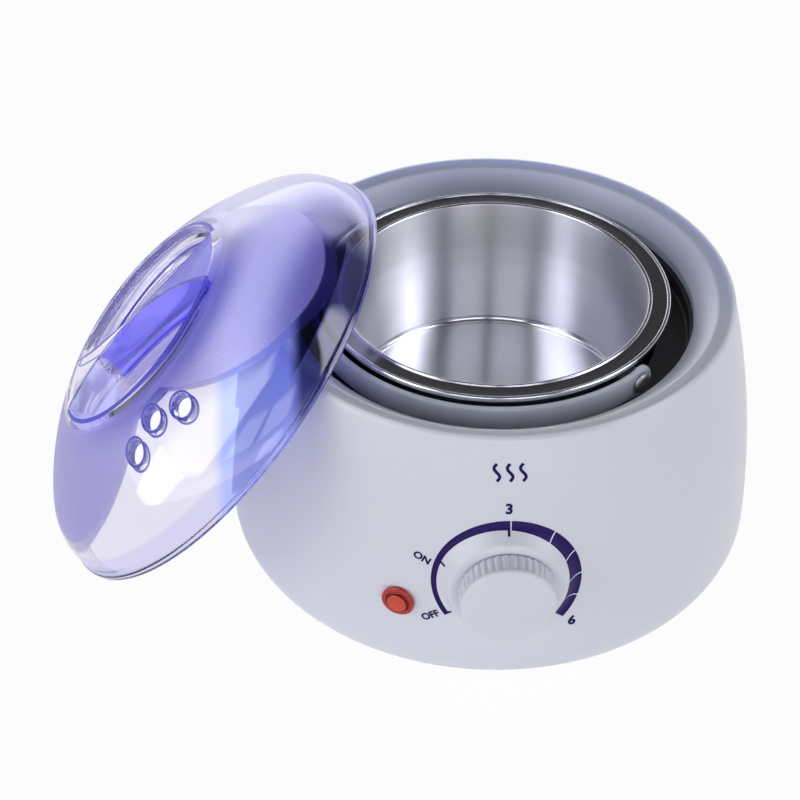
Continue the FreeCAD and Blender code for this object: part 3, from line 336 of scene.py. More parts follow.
class Nodes:
    """A node tree under construction."""

    def __init__(self, tree):
        self.tree = tree

    def node(self, kind, settings, inputs, output=0):
        """Any node: its settings first, then the values or links of its sockets."""
        made = self.tree.nodes.new(kind)
        for name, value in settings.items():
            setattr(made, name, value)
        for name, value in inputs.items():
            if isinstance(value, Socket):
                self.tree.links.new(value.link, made.inputs[name])
            else:
                made.inputs[name].default_value = value
        return Socket(self, made.outputs[output] if made.outputs else None)

    def split(self, vector, scale):
        """The x, y and z of a vector, each times a scale."""
        parts = self.node("ShaderNodeSeparateXYZ", {}, {0: vector})
        outs = parts.link.node.outputs
        return [Socket(self, outs[index]) * scale for index in range(3)]

    def mix(self, factor, first, second):
        return self.node("ShaderNodeMix", {"data_type": "RGBA"},
                         {0: factor, 6: first, 7: second}, 2)

    def mottled(self, mask, shade, low, high):
        """A colour that wanders between two brightnesses."""
        return self.mix(mask, shaded(shade, low), shaded(shade, high))

    def layers(self, shade, *steps):
        """A colour with others laid over it, each by its mask."""
        for mask, upper in steps:
            shade = self.mix(mask, shade, upper)
        return shade

    def along(self, x, y, z):
        return self.node("ShaderNodeCombineXYZ", {}, {0: x, 1: y, 2: z})


class Paint(Nodes):
    """A material under construction."""

    def __init__(self, name, **constants):
        self.material = bpy.data.materials.new(name)
        self.material.use_nodes = True
        super().__init__(self.material.node_tree)
        self.shader = self.tree.nodes["Principled BSDF"]
        for socket, value in constants.items():
            self.shader.inputs[socket.replace("_", " ")].default_value = value
        self.place = self.node("ShaderNodeTexCoord", {}, {}, "Object")

    def feed(self, **links):
        """Links of the shader's own sockets."""
        for name, source in links.items():
            self.tree.links.new(source.link, self.shader.inputs[name.replace("_", " ")])
        return self.material

    def finish(self, surface):
        """A mixed surface in place of the plain shader."""
        self.tree.links.new(surface.link, self.tree.nodes["Material Output"].inputs["Surface"])
        return self.material

    def noise(self, scale, detail=3.0, vector=None, roughness=0.5):
        return self.node("ShaderNodeTexNoise", {}, {
            "Vector": vector or self.place, "Scale": scale, "Detail": detail,
            "Roughness": roughness}, "Fac")

    def bump(self, height, strength, distance):
        return self.node("ShaderNodeBump", {}, {
            "Height": height, "Strength": strength, "Distance": distance}, "Normal")


def shaded(rgba, factor):
    """A colour scaled in brightness."""
    return (*(channel * factor for channel in rgba[:3]), 1.0)


def moulded(name, shade, roughness, grain=1400.0, bump=0.05, slope=None):
    """Moulded plastic: faint cloudiness in colour and gloss, and a very fine surface grain. The
    slope colour, when given, is painted shade with a blue cast on the housing's inner slope,
    stronger towards the back."""
    paint = Paint(name, IOR=1.46)
    cloud = paint.noise(38.0, 4.0)
    fine = paint.noise(grain, 2.0)
    base = paint.mottled(cloud, shade, 0.975, 1.02)
    if slope:
        x, y, z = paint.split(paint.place, 1000.0)
        # Painted shade: the slope colour is laid on the inner slope, more of it towards the back.
        inside = x.hypot(y).between(70.0, 65.0)
        base = paint.mix(inside * y.between(-45.0, 15.0) * z.between(70.0, 74.0), base, slope)
    gloss = cloud * 0.06 + fine * 0.05 + (roughness - 0.055)
    return paint.feed(Base_Color=base, Roughness=gloss, Normal=paint.bump(fine, bump, 0.0001))


def coated_metal(name, shade):
    """Dark baked coating on sheet: orange-peel bump and uneven gloss."""
    paint = Paint(name, Metallic=0.0, IOR=1.5)
    peel = paint.noise(520.0, 3.0)
    patch = paint.noise(45.0, 3.0)
    return paint.feed(Base_Color=paint.mottled(patch, shade, 0.8, 1.25),
                      Roughness=patch * 0.16 + 0.34, Normal=paint.bump(peel, 0.12, 0.0003))


def spun_metal(name, shade, roughness):
    """Spun metal: fine turning lines that run round the axis, with slow changes in gloss. The
    lines stretch the gloss of the walls up and down, the floor is glossier, painted shade
    darkens the wall under the rim, and the rim's flat ring is dark between two polished beads."""
    pitch, lip, rim_end, floor_z, rim_z = 3.2, 43.0, 48.0, 42.0, 79.0
    paint = Paint(name, Metallic=1.0, Anisotropic=0.97, Anisotropic_Rotation=0.25)
    x, y, z = paint.split(paint.place, 1000.0)
    ring = x.hypot(y)
    lines = paint.noise(1.0, 3.0, paint.along(ring * pitch, z * pitch, 0.0), 0.65)
    broad = paint.noise(1.0, 2.0, paint.along(ring * 0.35, z * 0.35, 0.0))
    base = paint.mottled(broad, shade, 0.93, 1.04)
    gloss = ring.between(lip - 0.6, lip, roughness + 0.1, roughness - 0.12)
    gloss = lines * 0.12 + broad * 0.08 + gloss - (z < floor_z) * 0.2
    flat = ring.between(lip + 0.5, lip + 0.9) * (z > rim_z) * ring.between(rim_end, rim_end - 0.4)
    base = paint.mix(flat, base, shaded(shade, 0.42))
    # Painted shade: the inner wall is darker under the rim.
    base = paint.mix((ring < lip) * z.between(56.0, 76.0) * 0.5, base, shaded(shade, 0.3))
    return paint.feed(Base_Color=base, Roughness=gloss, Normal=paint.bump(lines, 0.12, 0.00012))


def plain_metal(name, shade, roughness):
    """Plated or turned small part with a light scatter in its gloss."""
    paint = Paint(name, Metallic=1.0)
    speck = paint.noise(900.0, 3.0)
    return paint.feed(Base_Color=paint.mottled(speck, shade, 0.9, 1.06),
                      Roughness=speck * 0.16 + (roughness - 0.08),
                      Normal=paint.bump(speck, 0.06, 0.0001))


# ---------------------------------------------------------------- housing
# Millimetres: the wall's curve and the height of its widest point, the corners of foot and
# crest, the wall's thickness, the mouth's drop and lip, and the cord inlet's neck and height.
WALL_CURVE, WIDEST, FOOT_CORNER, CREST_CORNER = 285.0, 12.0, 11.0, 2.3
WALL, MOUTH_DROP, LIP_DEPTH = 2.5, 6.1, 2.6
INLET_NECK, INLET_Z = 6.1, 18.0
# Degrees between the boss's flank and the wall's outward direction.
FLANK_ANGLE = 35.0


def wall_radius(z):
    """Radius of the gently curved wall: a circle of 285 mm whose widest point is at 12 mm."""
    level = np.asarray(z, float) - WIDEST
    return sizes().body_radius - WALL_CURVE + np.sqrt(WALL_CURVE ** 2 - level ** 2)


def smooth_max(a, b, blend):
    """The larger of two values with a parabolic blend where they are close."""
    gap = np.clip(0.5 + 0.5 * (a - b) / blend, 0, 1)
    return b + (a - b) * gap + blend * gap * (1 - gap)


def front_depth(x, z):
    """How far the front surface stands before the axis plane at (x, z): the wall's circle, or
    the dial boss where that is proud. The boss is a flat disc whose flank falls off by one
    over the tangent of 35 degrees, with a softened edge and a blended foot."""
    s = sizes()
    wall = np.sqrt(np.maximum(wall_radius(z) ** 2 - x ** 2, 0.0))
    reach = np.hypot(x, z - s.dial_height)
    flank = s.boss_face - (reach - s.boss_radius) / math.tan(math.radians(FLANK_ANGLE))
    boss = -smooth_max(-np.full_like(flank, s.boss_face), -flank, 0.5)
    return smooth_max(wall, boss, 1.6)


def housing_profile():
    """Closed section of the housing from the base hole round the foot, up the wall, over the
    crest, down the inner slope and lip, and back inside. Returns the section and the number
    of its points up to the top of the wall."""
    s = sizes()
    height, mouth = s.body_height, s.opening_radius
    side_z = height - CREST_CORNER
    side_r = float(wall_radius(side_z))
    foot = WIDEST - FOOT_CORNER * np.cos(np.linspace(0, np.pi / 2, 12))
    out = np.sqrt(FOOT_CORNER ** 2 - (foot - WIDEST) ** 2)
    foot = stacked(s.body_radius - FOOT_CORNER + out, foot)
    near = np.concatenate([
        np.linspace(13.5, 17, 4), np.arange(18, 59, 0.4), np.linspace(60.5, side_z, 12)])
    wall = stacked(wall_radius(near), near)
    opening_z = height - MOUTH_DROP
    crest = circle(np.linspace(0, np.pi / 2, 9)[1:])
    crest = [side_r - CREST_CORNER, side_z] + CREST_CORNER * crest
    slope_r, break_r, lip_r, under_r = 66.6, 61.8, 61.0, 63.5
    lip_z, under_z = opening_z - LIP_DEPTH, height - 3.6
    top = rounded([
        (side_r - CREST_CORNER, height), (slope_r, height - 0.45, 8.0),
        (break_r, height - 1.15, 2.2), (mouth, opening_z, 1.0), (mouth, lip_z, 0.3),
        (lip_r, lip_z), (under_r, under_z), (float(wall_radius(78)) - WALL, under_z)], 8)
    inner = np.linspace(76.0, 14.0, 14)
    inner = stacked(wall_radius(inner) - WALL, inner)
    hole_r, floor_z = 62.0, 3.5
    base = np.array([(72.0, 11.0), (69.5, 6.0), (65.0, floor_z), (hole_r, floor_z), (hole_r, 1.0)])
    section = np.concatenate([foot, wall, crest, top[1:], inner, base])
    return section, len(foot) + len(wall)


class MELTER_OT_housing(bpy.types.Operator):
    """Smooth moulded shell with the dial boss swelling out of its front"""
    bl_idname = "melter.housing"
    bl_label = "Housing"

    def execute(self, context):
        """The section is turned about the axis with finer steps at the front. Points of the
        outer wall near the dial move along -Y to the depth of wall and boss together."""
        s = sizes()
        section, outer = housing_profile()
        half_front, dial_reach, foot_top = 17.0, 23.0, 12.5
        fine = np.arange(-half_front, half_front + 0.01, 0.27)
        coarse = np.linspace(half_front, 360.0 - half_front, 210)[1:-1]
        angles = np.radians(np.concatenate([fine, coarse]) - 90.0)
        points = lathe(section, angles)
        front = points[:, :outer]
        x, y, z = np.moveaxis(front, -1, 0)
        near = (y < 0) & (np.hypot(x, z - s.dial_height) < dial_reach) & (z > foot_top)
        front[..., 1] = np.where(near, -front_depth(x, z), y)
        faces = grid_faces(len(angles), len(section), wrap_rows=True, wrap_columns=True)
        piece = mesh_piece(
            "housing_shell", points.reshape(-1, 3), faces, "base", ["outer_housing"], 30.0)
        # The housing's gloss carries painted shade on its inner slope.
        piece.data.materials.append(
            moulded("housing_gloss", tint("housing"), 0.36, slope=tint("slope")))
        carve(piece, [drill("bore_cutter", "base", INLET_NECK, 55, 90, facing(180, INLET_Z))])
        return {"FINISHED"}


def carve(piece, cutters):
    """Takes the cutters' volumes out of a closed piece, and then removes the cutters."""
    for cutter in cutters:
        cut = piece.modifiers.new("cut", "BOOLEAN")
        cut.solver = "EXACT"
        cut.object = cutter
    mesh = worked_out(piece)
    piece.modifiers.clear()
    old, piece.data = piece.data, mesh
    bpy.data.meshes.remove(old)
    mesh.name = piece.name
    for cutter in cutters:
        bpy.data.batch_remove((cutter, cutter.data))


# ---------------------------------------------------------------- print
def wrapped(x, z, lift):
    """Points of the front surface at (x, z), lifted off it by a hair."""
    return stacked(x, -front_depth(x, z) - lift, z)


def band_width(angle):
    """Width of the scale's band in millimetres: two ramps over the angle in degrees."""
    return 1.45 + 2.15 * np.clip((angle + 60) / 190, 0, 1) + np.clip((angle - 60) / 60, 0, 1)


def arc_patch(start, stop, depth):
    """A patch of the printed scale between two angles, clockwise from the top in degrees. It
    reaches inwards from the scale's radius by a function of the angle, and lies on the wall."""
    s = sizes()
    count = max(int(stop - start), 1) + 1
    angle = np.linspace(start, stop, count)
    radius = s.scale_radius - depth(angle)[:, None] * np.linspace(1, 0, 5)
    turn = np.radians(angle)[:, None]
    points = wrapped(radius * np.sin(turn), s.dial_height + radius * np.cos(turn), 0.05)
    return points.reshape(-1, 3), grid_faces(count, 5)


def lettering(text, height, centre, tilt):
    """Flat lettering laid on the wall: a text is made a mesh, its outline is scaled to the
    height, turned about its middle, and each point takes the depth of the surface."""
    curve = bpy.data.curves.new("word", "FONT")
    curve.body = text
    curve.align_x = curve.align_y = "CENTER"
    curve.resolution_u = 6
    curve.offset = 0.04
    holder = new_object("word", curve)
    mesh = worked_out(holder)
    bpy.data.batch_remove((holder, curve))
    flat = np.empty(len(mesh.vertices) * 3)
    mesh.vertices.foreach_get("co", flat)
    flat = flat.reshape(-1, 3)[:, :2]
    low, high = flat.min(axis=0), flat.max(axis=0)
    flat = (flat - (low + high) / 2) * height / (high[1] - low[1])
    cosine, sine = math.cos(math.radians(tilt)), math.sin(math.radians(tilt))
    x = centre[0] + flat[:, 0] * cosine + flat[:, 1] * sine
    z = centre[1] - flat[:, 0] * sine + flat[:, 1] * cosine
    faces = [list(face.vertices) for face in mesh.polygons]
    bpy.data.meshes.remove(mesh)
    return wrapped(x, z, 0.09), faces


def joined(parts):
    """Several sets of points and faces as one."""
    points, faces, start = [], [], 0
    for part_points, part_faces in parts:
        points.append(part_points)
        faces += [[index + start for index in face] for face in part_faces]
        start += len(part_points)
    return np.concatenate(points), faces


class MELTER_OT_print(bpy.types.Operator):
    """Printed scale round the dial with its words, numbers and heat sign"""
    bl_idname = "melter.print_marks"
    bl_label = "Print"

    def execute(self, context):
        """The band's width grows from 1.45 to 4.6 mm with the angle. White gaps part it, and
        ticks point inwards at off, on and the middle."""
        s = sizes()
        parts = []
        edges, half_gap, half_tick = (-126.0, 1.4, 38.0, 63.0, 86.0, 107.0, 130.0), 0.4, 1.1
        for start, stop in zip(edges, edges[1:]):
            start += 2 * half_gap if start > edges[0] else 0
            parts.append(arc_patch(start, stop - half_gap, band_width))
        for middle, depth in ((-124.9, 2.4), (-70.0, 2.5), (0.0, 3.1)):
            parts.append(arc_patch(middle - half_tick, middle + half_tick,
                                   lambda angle: np.full_like(angle, depth)))
        for text, height, turn, radius, tilt in (
                ("OFF", 2.3, -122.1, 23.6, -32.0), ("ON", 2.3, -74.5, 23.2, 26.0),
                ("3", 3.2, 0.0, 23.6, 0.0), ("6", 3.3, 129.0, 23.2, 0.0)):
            angle = math.radians(turn)
            place = (radius * math.sin(angle), s.dial_height + radius * math.cos(angle))
            parts.append(lettering(text, height, place, tilt))
        parts += [heat_wave(offset) for offset in (-3.4, 0.0, 3.4)]
        points, faces = joined(parts)
        piece = mesh_piece("printed_scale", points, faces, "base", closed=False)
        face_outwards(piece)
        paint = Paint("print_ink", IOR=1.25)
        fleck = paint.noise(600.0, 3.0)
        piece.data.materials.append(paint.feed(
            Base_Color=paint.mottled(fleck, tint("print_ink"), 0.85, 1.15),
            Roughness=fleck * 0.1 + 0.4))
        return {"FINISHED"}


def heat_wave(offset):
    """One wavy line of the heat sign: x follows a sine of the height, and the stroke keeps the
    same width across it."""
    swing, low, height, half_stroke = 0.75, 69.9, 5.0, 0.42
    t = np.linspace(0, 1, 25)
    slope = stacked(swing * 2 * np.pi * np.cos(2 * np.pi * t), height)
    slope /= np.linalg.norm(slope, axis=1, keepdims=True)
    across = np.linspace(-half_stroke, half_stroke, 3)
    x = (offset + swing * np.sin(2 * np.pi * t))[:, None] + slope[:, 1:2] * across
    z = (low + height * t)[:, None] - slope[:, 0:1] * across
    return wrapped(x, z, 0.05).reshape(-1, 3), grid_faces(25, 3)


def face_outwards(piece):
    """Turns each face of a thin print so that it looks away from the housing's axis."""
    work = bmesh.new()
    work.from_mesh(piece.data)
    for face in work.faces:
        middle = face.calc_center_median()
        if face.normal.dot(Vector((middle.x, middle.y, 0))) < 0:
            face.normal_flip()
    work.to_mesh(piece.data)
    work.free()


# ---------------------------------------------------------------- well, pot and bail
class MELTER_OT_well(bpy.types.Operator):
    """Black sheet well between the housing and the pot"""
    bl_idname = "melter.well"
    bl_label = "Well"

    def execute(self, context):
        """The closed section of flange, funnel, ledge and cup is turned about the axis."""
        cup, ledge, flange, sheet = 45.2, 54.4, 60.7, 1.2
        floor, step, top = 37.9, 67.7, 72.3
        section = rounded([
            (0, floor), (cup + sheet, floor, 4.0), (cup + sheet, step, 0.4),
            (ledge + sheet, step, 0.8), (ledge + sheet, top, 0.4), (flange, top),
            (flange, top + sheet), (ledge, top + sheet, 0.5), (ledge, step + sheet, 0.8),
            (cup, step + sheet, 1.2), (cup, floor + sheet, 2.8), (0, floor + sheet)])
        piece = turned_piece("well_sheet", section, "base", ["heating_well"])
        piece.data.materials.append(coated_metal("baked_black", tint("well")))
        return {"FINISHED"}


class MELTER_OT_pot(bpy.types.Operator):
    """Spun pot with a rolled lip, a flat rim and a beaded edge"""
    bl_idname = "melter.pot"
    bl_label = "Pot"

    def execute(self, context):
        """The section runs under the floor, up the wall, out under the rim, up its edge, back
        between the two raised beads, and down inside to the middle of the floor."""
        s = sizes()
        under, above, rim_z = 39.4, 40.3, 81.0
        bead, lip, low = s.rim_radius - 0.95, s.pot_radius + 1.0, rim_z - 0.4
        section = rounded([
            (0, under), (41.5, under, 4.0), (s.pot_radius + 0.9, rim_z - 1.8, 0.8),
            (s.rim_radius, rim_z - 1.8, 0.6), (s.rim_radius, rim_z, 0.45), (bead, rim_z, 0.2),
            (bead, low, 0.15), (lip, low, 0.15), (lip, rim_z, 0.2), (s.pot_radius, rim_z, 0.5),
            (40.7, above, 1.6), (0, above)])
        piece = turned_piece("pot_shell", section, "pot", ["wax_pot"], count=320)
        piece.data.materials.append(spun_metal("spun_aluminium", tint("pot"), 0.16))
        steel = plain_metal("rivet_steel", shaded(tint("pot"), 0.4), 0.5)
        for name in ("bail_stud_left", "bail_stud_right"):
            dress(name, steel)
        return {"FINISHED"}


class MELTER_OT_bail(bpy.types.Operator):
    """Cloudy strap that lies half round the pot"""
    bl_idname = "melter.bail"
    bl_label = "Bail"

    def execute(self, context):
        """A rounded oblong section is carried round half a circle. Its half height follows a
        disc of 4.6 mm at each end, and stays at 4 mm along the strap."""
        start, axis_z, gap, wall, lug, half_strap = 136.5, 75.1, 0.75, 1.6, 4.6, 4.0
        inner = sizes().rim_radius + gap
        middle = inner + wall / 2
        run = math.pi * middle
        end = lug * (1 - np.cos(np.linspace(0, np.pi / 2, 12)))
        along = np.concatenate([
            end - lug, np.linspace(lug * 0.15, run - lug * 0.15, 120), run + lug - end[::-1]])
        from_end = np.minimum(along, run - along)
        disc = np.sqrt(np.maximum(lug ** 2 - from_end ** 2, 0.0))
        half = np.where(from_end > 0, np.maximum(disc, half_strap), disc)[:, None]
        section = rounded([(0, 0), (0, 1, 0.3), (1, 1, 0.3), (1, 0)], 5)
        section = np.concatenate([section, section[::-1] * (1, -1)])[:-1]
        bent = np.clip(along, 0, run)
        over = (along - bent)[:, None]
        angle = (np.radians(start) + bent / middle)[:, None]
        radius = inner + section[:, 0] * wall
        points = stacked(radius * np.cos(angle) - over * np.sin(angle),
                         radius * np.sin(angle) + over * np.cos(angle),
                         axis_z + section[:, 1] * half)
        faces = grid_faces(len(along), len(section), wrap_columns=True)
        piece = mesh_piece(
            "bail_strap", points.reshape(-1, 3), faces, "bail", ["bail_handle"], 40.0)
        paint = Paint("cloudy_strap", IOR=1.45)
        cloud = paint.noise(60.0, 4.0)
        piece.data.materials.append(paint.feed(
            Base_Color=paint.mottled(cloud, tint("bail"), 0.85, 1.12),
            Roughness=cloud * 0.15 + 0.34,
            Normal=paint.bump(paint.noise(700.0, 2.0), 0.08, 0.0002)))
        return {"FINISHED"}


# ---------------------------------------------------------------- knob and lamp
class MELTER_OT_knob(bpy.types.Operator):
    """White knob with a ribbed skirt and a softly domed face"""
    bl_idname = "melter.knob"
    bl_label = "Knob"

    def execute(self, context):
        """The section is turned about the dial's axis. On the skirt, a rounded groove repeats
        40 times round: the radius drops by 0.35 mm times the square of a raised cosine of the
        angle, and the drop fades out at the front edge."""
        s = sizes()
        ribs, rib_depth, corner, dome = 40, 0.35, 1.1, 0.7
        hollow_r, hub_r, shaft_r, hub_z, shaft_z = 11.0, 4.6, 3.05, 78.2, 80.0
        back, front = s.boss_face + 0.5, s.boss_face + 6.8
        edge, face_r, hollow_z = front - corner, s.knob_face - corner, back + 3.9
        crown = bow((0, front + dome), (face_r, front), dome / 4, 14)
        brow = [face_r, edge] + corner * circle(np.linspace(np.pi / 2, 0, 7))
        skirt = np.linspace((s.knob_face, edge), (s.knob_radius, back + 0.4), 14)
        behind = np.array([
            (s.knob_radius - 0.3, back), (hollow_r, back), (hollow_r, hollow_z), (hub_r, hollow_z),
            (hub_r, hub_z), (shaft_r, hub_z), (shaft_r, shaft_z), (0, shaft_z)])
        section = np.concatenate([crown, brow[1:], skirt[1:], behind])
        around = round_trip(640)
        points = lathe(section, around)
        first = len(crown) + len(brow) - 1
        last = first + len(skirt)
        depth = np.zeros(len(section))
        depth[first:last] = rib_depth * np.clip((edge + 0.2 - section[first:last, 1]) / 1.2, 0, 1)
        wave = (0.5 + 0.5 * np.cos(ribs * around)) ** 2
        radius = np.maximum(section[:, 0] - depth * wave[:, None], 0)
        scale = np.divide(radius, section[:, 0], out=np.ones_like(radius), where=section[:, 0] > 0)
        points[..., :2] *= scale[..., None]
        faces = grid_faces(len(around), len(section), wrap_rows=True)
        flat = moved(points.reshape(-1, 3), facing(0, s.dial_height))
        piece = mesh_piece("knob_cap", flat, faces, "knob", ["control_knob"], 32.0)
        piece.data.materials.append(moulded("knob_gloss", tint("housing"), 0.34))
        return {"FINISHED"}


# The lamp's place on the wall: degrees from the front and millimetres above the table.
LAMP_TURN, LAMP_Z = -22.4, 28.7


class MELTER_OT_lamp(bpy.types.Operator):
    """Orange-red lamp lens with a rim and a raised middle"""
    bl_idname = "melter.lamp"
    bl_label = "Lamp"

    def execute(self, context):
        """The section of rim, groove, raised disc and hollow stem is turned about an axis
        that points out of the wall."""
        bore, stem, brim, disc = 2.3, 3.5, 4.6, 2.8
        section = rounded([
            (0, -1.45), (bore, -1.45), (bore, -9.0), (stem, -9.0), (stem, 0.3), (brim, 0.3, 0.05),
            (brim, 1.1, 0.6), (3.3, 1.1, 0.25), (3.1, 0.7, 0.2), (disc, 0.9, 0.2),
            (disc, 1.9, 0.35), (0, 2.2)])
        on_wall = facing(LAMP_TURN, LAMP_Z, float(wall_radius(LAMP_Z)))
        piece = turned_piece("lamp_lens", section, "base", ["indicator_lens"], 96, on_wall)
        paint = Paint("lens_red", IOR=1.49, Transmission_Weight=0.35)
        cloud = paint.noise(220.0, 3.0)
        shade = tint("lens")
        x, y, z = paint.split(paint.place, 1000.0)
        angle = math.radians(LAMP_TURN)
        away = (x * math.cos(angle) + y * math.sin(angle)).hypot(z - LAMP_Z)
        # Painted shade: the groove round the raised middle is darker.
        groove = away.near(3.15, 0.6, 0.2)
        base = paint.mottled(cloud, shade, 0.85, 1.15)
        # Painted glow: the raised middle is lighter orange.
        base = paint.mix(away.between(disc, disc - 0.3), base, tint("lens_painted_glow"))
        piece.data.materials.append(paint.feed(
            Base_Color=paint.mix(groove, base, shaded(shade, 0.45)), Roughness=cloud * 0.1 + 0.14))
        return {"FINISHED"}


# ---------------------------------------------------------------- lid
# The lid's turn about the upright and its lean in degrees, and the middle of its rim.
LID_TURN, LID_LEAN, LID_MIDDLE = 178.5, 48.0, (-76.905, 2.014, 49.419)
# Its wall, its rim's step in height and width, the recesses' floor, and the distance and radius
# of the circle that a recess's inner edge follows, in millimetres.
LID_WALL, RIM_HEIGHT, RIM_STEP, GRIP_FLOOR = 2.2, 2.0, 0.9, 23.8
GRIP_CENTRE, GRIP_CURVE = 54.0, 53.0
# The vents: their radius, and the distance and angle of each.
VENT, VENTS = 3.1, ((47.88, -5.0), (43.98, 6.6), (47.88, 18.2))


def lid_frame():
    """Frame of the leaning lid: +Z along its axis, +X level towards the front, +Y up its slope."""
    turn = Matrix.Rotation(math.radians(LID_TURN), 4, "Z")
    lean = Matrix.Rotation(math.radians(LID_LEAN), 4, "Y")
    roll = Matrix.Rotation(math.radians(90), 4, "Z")
    return Matrix.Translation(LID_MIDDLE) @ turn @ lean @ roll


def dome_curve(inset, count=40):
    """Section of the dome from its foot to its top: a side arc of 16.5 mm and a crown arc of
    94 mm that share a tangent, each drawn in by the inset, and from the grip's circle inwards
    a flatter cap that rises 2.2 mm to the middle."""
    s = sizes()
    crown, side, height, rise = 94.03, 16.49, 36.11, 2.2
    foot = np.array([s.lid_radius - RIM_STEP, RIM_HEIGHT])
    top = np.array([0.0, height - crown])
    span = foot - top
    reach = crown - side
    distance = float(np.hypot(*span))
    bend = math.acos((reach ** 2 + distance ** 2 - side ** 2) / (2 * reach * distance))
    lean = math.atan2(span[0], span[1]) - bend
    hub = top + reach * np.array([math.sin(lean), math.cos(lean)])
    low = math.atan2(foot[1] - hub[1], foot[0] - hub[0])
    a = np.linspace(low, math.pi / 2 - lean, count // 2)
    b = np.linspace(lean, math.asin(s.grip_radius / crown), count)[1:]
    first = hub + (side - inset) * circle(a)
    second = top + (crown - inset) * circle(b)[:, ::-1]
    edge = second[-1]
    cap = (edge[0] ** 2 + rise ** 2) / (2 * rise)
    r = np.linspace(edge[0], 0, count)[1:]
    third = stacked(r, edge[1] + rise - cap + np.sqrt(cap ** 2 - r ** 2))
    return np.concatenate([first, second, third])


def dome_height(radius, inset=0.0):
    """Height of the dome at a radius, read off its section."""
    curve = dome_curve(inset, 200)
    return np.interp(radius, curve[::-1, 0], curve[::-1, 1])


def grip_edge(y):
    """How far a recess's inner edge lies from the middle line: 54 mm less the root of the
    difference of the squares of 53 mm and y, so it bulges to 1 mm from the line."""
    return GRIP_CENTRE - np.sqrt(GRIP_CURVE ** 2 - y ** 2)


class MELTER_OT_lid(bpy.types.Operator):
    """Clear domed lid with frosted fields, a grip between two recesses and three vents"""
    bl_idname = "melter.lid"
    bl_label = "Lid"

    def execute(self, context):
        """Patches share their edges: a ring from the recesses out to the rim and back under
        the dome, a strip over the fin, and two recesses whose outline is carried down the
        wall and in over a rounded corner to the floor."""
        s = sizes()
        grip = s.grip_radius
        tip_x = (grip ** 2 + GRIP_CENTRE ** 2 - GRIP_CURVE ** 2) / (2 * GRIP_CENTRE)
        tip_y = math.sqrt(grip ** 2 - tip_x ** 2)
        tip = math.atan2(tip_y, tip_x)
        side = np.linspace(-tip, tip, 97)
        ends = np.linspace(-tip_x, tip_x, 25)
        limit = np.sqrt(grip ** 2 - ends ** 2)
        top_end = np.arctan2(limit, ends)[-2:0:-1]
        angles = np.concatenate([side, top_end, side + np.pi, top_end + np.pi])
        section = lid_section(grip, s.lid_radius)
        faces = grid_faces(len(angles), len(section), wrap_rows=True)
        parts = [(lathe(section, angles).reshape(-1, 3), faces)]
        share = np.linspace(-1, 1, 97)
        edge_y = share * tip_y
        edge_x = grip_edge(edge_y)
        y = share[:, None] * limit
        blend = np.abs(share[:, None]) ** 14
        x = edge_x[:, None] * np.linspace(-1, 1, len(ends)) * (1 - blend) + ends * blend
        x[:, 0], x[:, -1] = -edge_x, edge_x
        y[:, 0] = y[:, -1] = edge_y
        strip = stacked(x, y, dome_height(np.hypot(x, y)))
        parts.append((strip.reshape(-1, 3), grid_faces(*x.shape)))
        parts += [recess(hand, grip * circle(side), edge_y) for hand in (1, -1)]
        points, faces = joined(parts)
        points = moved(points, lid_frame())
        piece = mesh_piece("lid_dome", points, faces, "lid", ["lid_shell"], 38.0)
        holes = []
        for radius, turn in VENTS:
            angle = math.radians(turn)
            spot = Matrix.Translation((radius * math.cos(angle), radius * math.sin(angle), 0))
            holes.append(drill("vent_cutter", "lid", VENT, 0, 40, lid_frame() @ spot))
        carve(piece, holes)
        piece.data.materials.append(lid_finish())
        return {"FINISHED"}


def lid_section(grip, rim_r):
    """Section of the lid's ring from the middle of the cup under the grip, out under the dome,
    round the rim and back over the dome to the grip's circle."""
    cup_r, cup_z, brim = 34.5, GRIP_FLOOR - LID_WALL, 36.2
    over = dome_curve(0.0, 60)
    over = over[over[:, 0] > grip + 0.6]
    under = dome_curve(LID_WALL, 60)
    under = under[under[:, 0] > brim + 0.3][::-1]
    cup = rounded([
        (brim, float(dome_height(brim, LID_WALL))),
        (cup_r, float(dome_height(cup_r, LID_WALL)) - 0.6, 1.2),
        (cup_r, cup_z, 9.2), (0, cup_z)], 9)
    rim = rounded([
        tuple(under[-1]), (float(under[-1][0]), 0.0, 0.3), (rim_r, 0.0, 0.5),
        (rim_r, RIM_HEIGHT, 0.5), (rim_r - RIM_STEP, RIM_HEIGHT)], 5)
    last = [[grip, float(dome_height(grip))]]
    return np.concatenate([cup[::-1], under, rim[1:-1], over, last])


def recess(hand, outer, edge_y):
    """One finger recess. Its outline runs along the outer circle and back along the curved
    inner edge. Rings of it shrink towards its middle line while they go down: a small brow,
    a steep wall, a rounded corner of 6 mm, or 2.5 mm beside the fin, and the flat floor."""
    inner = stacked(grip_edge(edge_y[::-1]), edge_y[::-1])
    outline = np.concatenate([outer, inner[1:-1]])
    top = dome_height(np.hypot(*outline.T))
    inward = stacked(15.0, np.clip(outline[:, 1], -15.5, 15.5)) - outline
    distance = np.linalg.norm(inward, axis=1)
    inward /= distance[:, None]
    corner = np.where(np.arange(len(outline)) < len(outer), 6.0, 2.5)
    corner = np.concatenate([corner[-12:], corner, corner[:12]])
    corner = np.convolve(corner, np.ones(25) / 25, "valid")
    rings = [(0.0, top), (0.12, top - 0.12), (0.35, top - 0.5)]
    rings += [(0.45 + corner * (1 - math.cos(angle)), GRIP_FLOOR + corner * (1 - math.sin(angle)))
              for angle in np.linspace(0, np.pi / 2, 11)]
    rings.append((distance, GRIP_FLOOR))
    points = []
    for shift, z in rings:
        xy = outline + inward * np.minimum(shift, distance)[:, None]
        points.append(stacked(*xy.T, np.minimum(z, top)))
    points = np.array(points) * (hand, hand, 1)
    return points.reshape(-1, 3), grid_faces(len(rings), len(outline), wrap_columns=True)


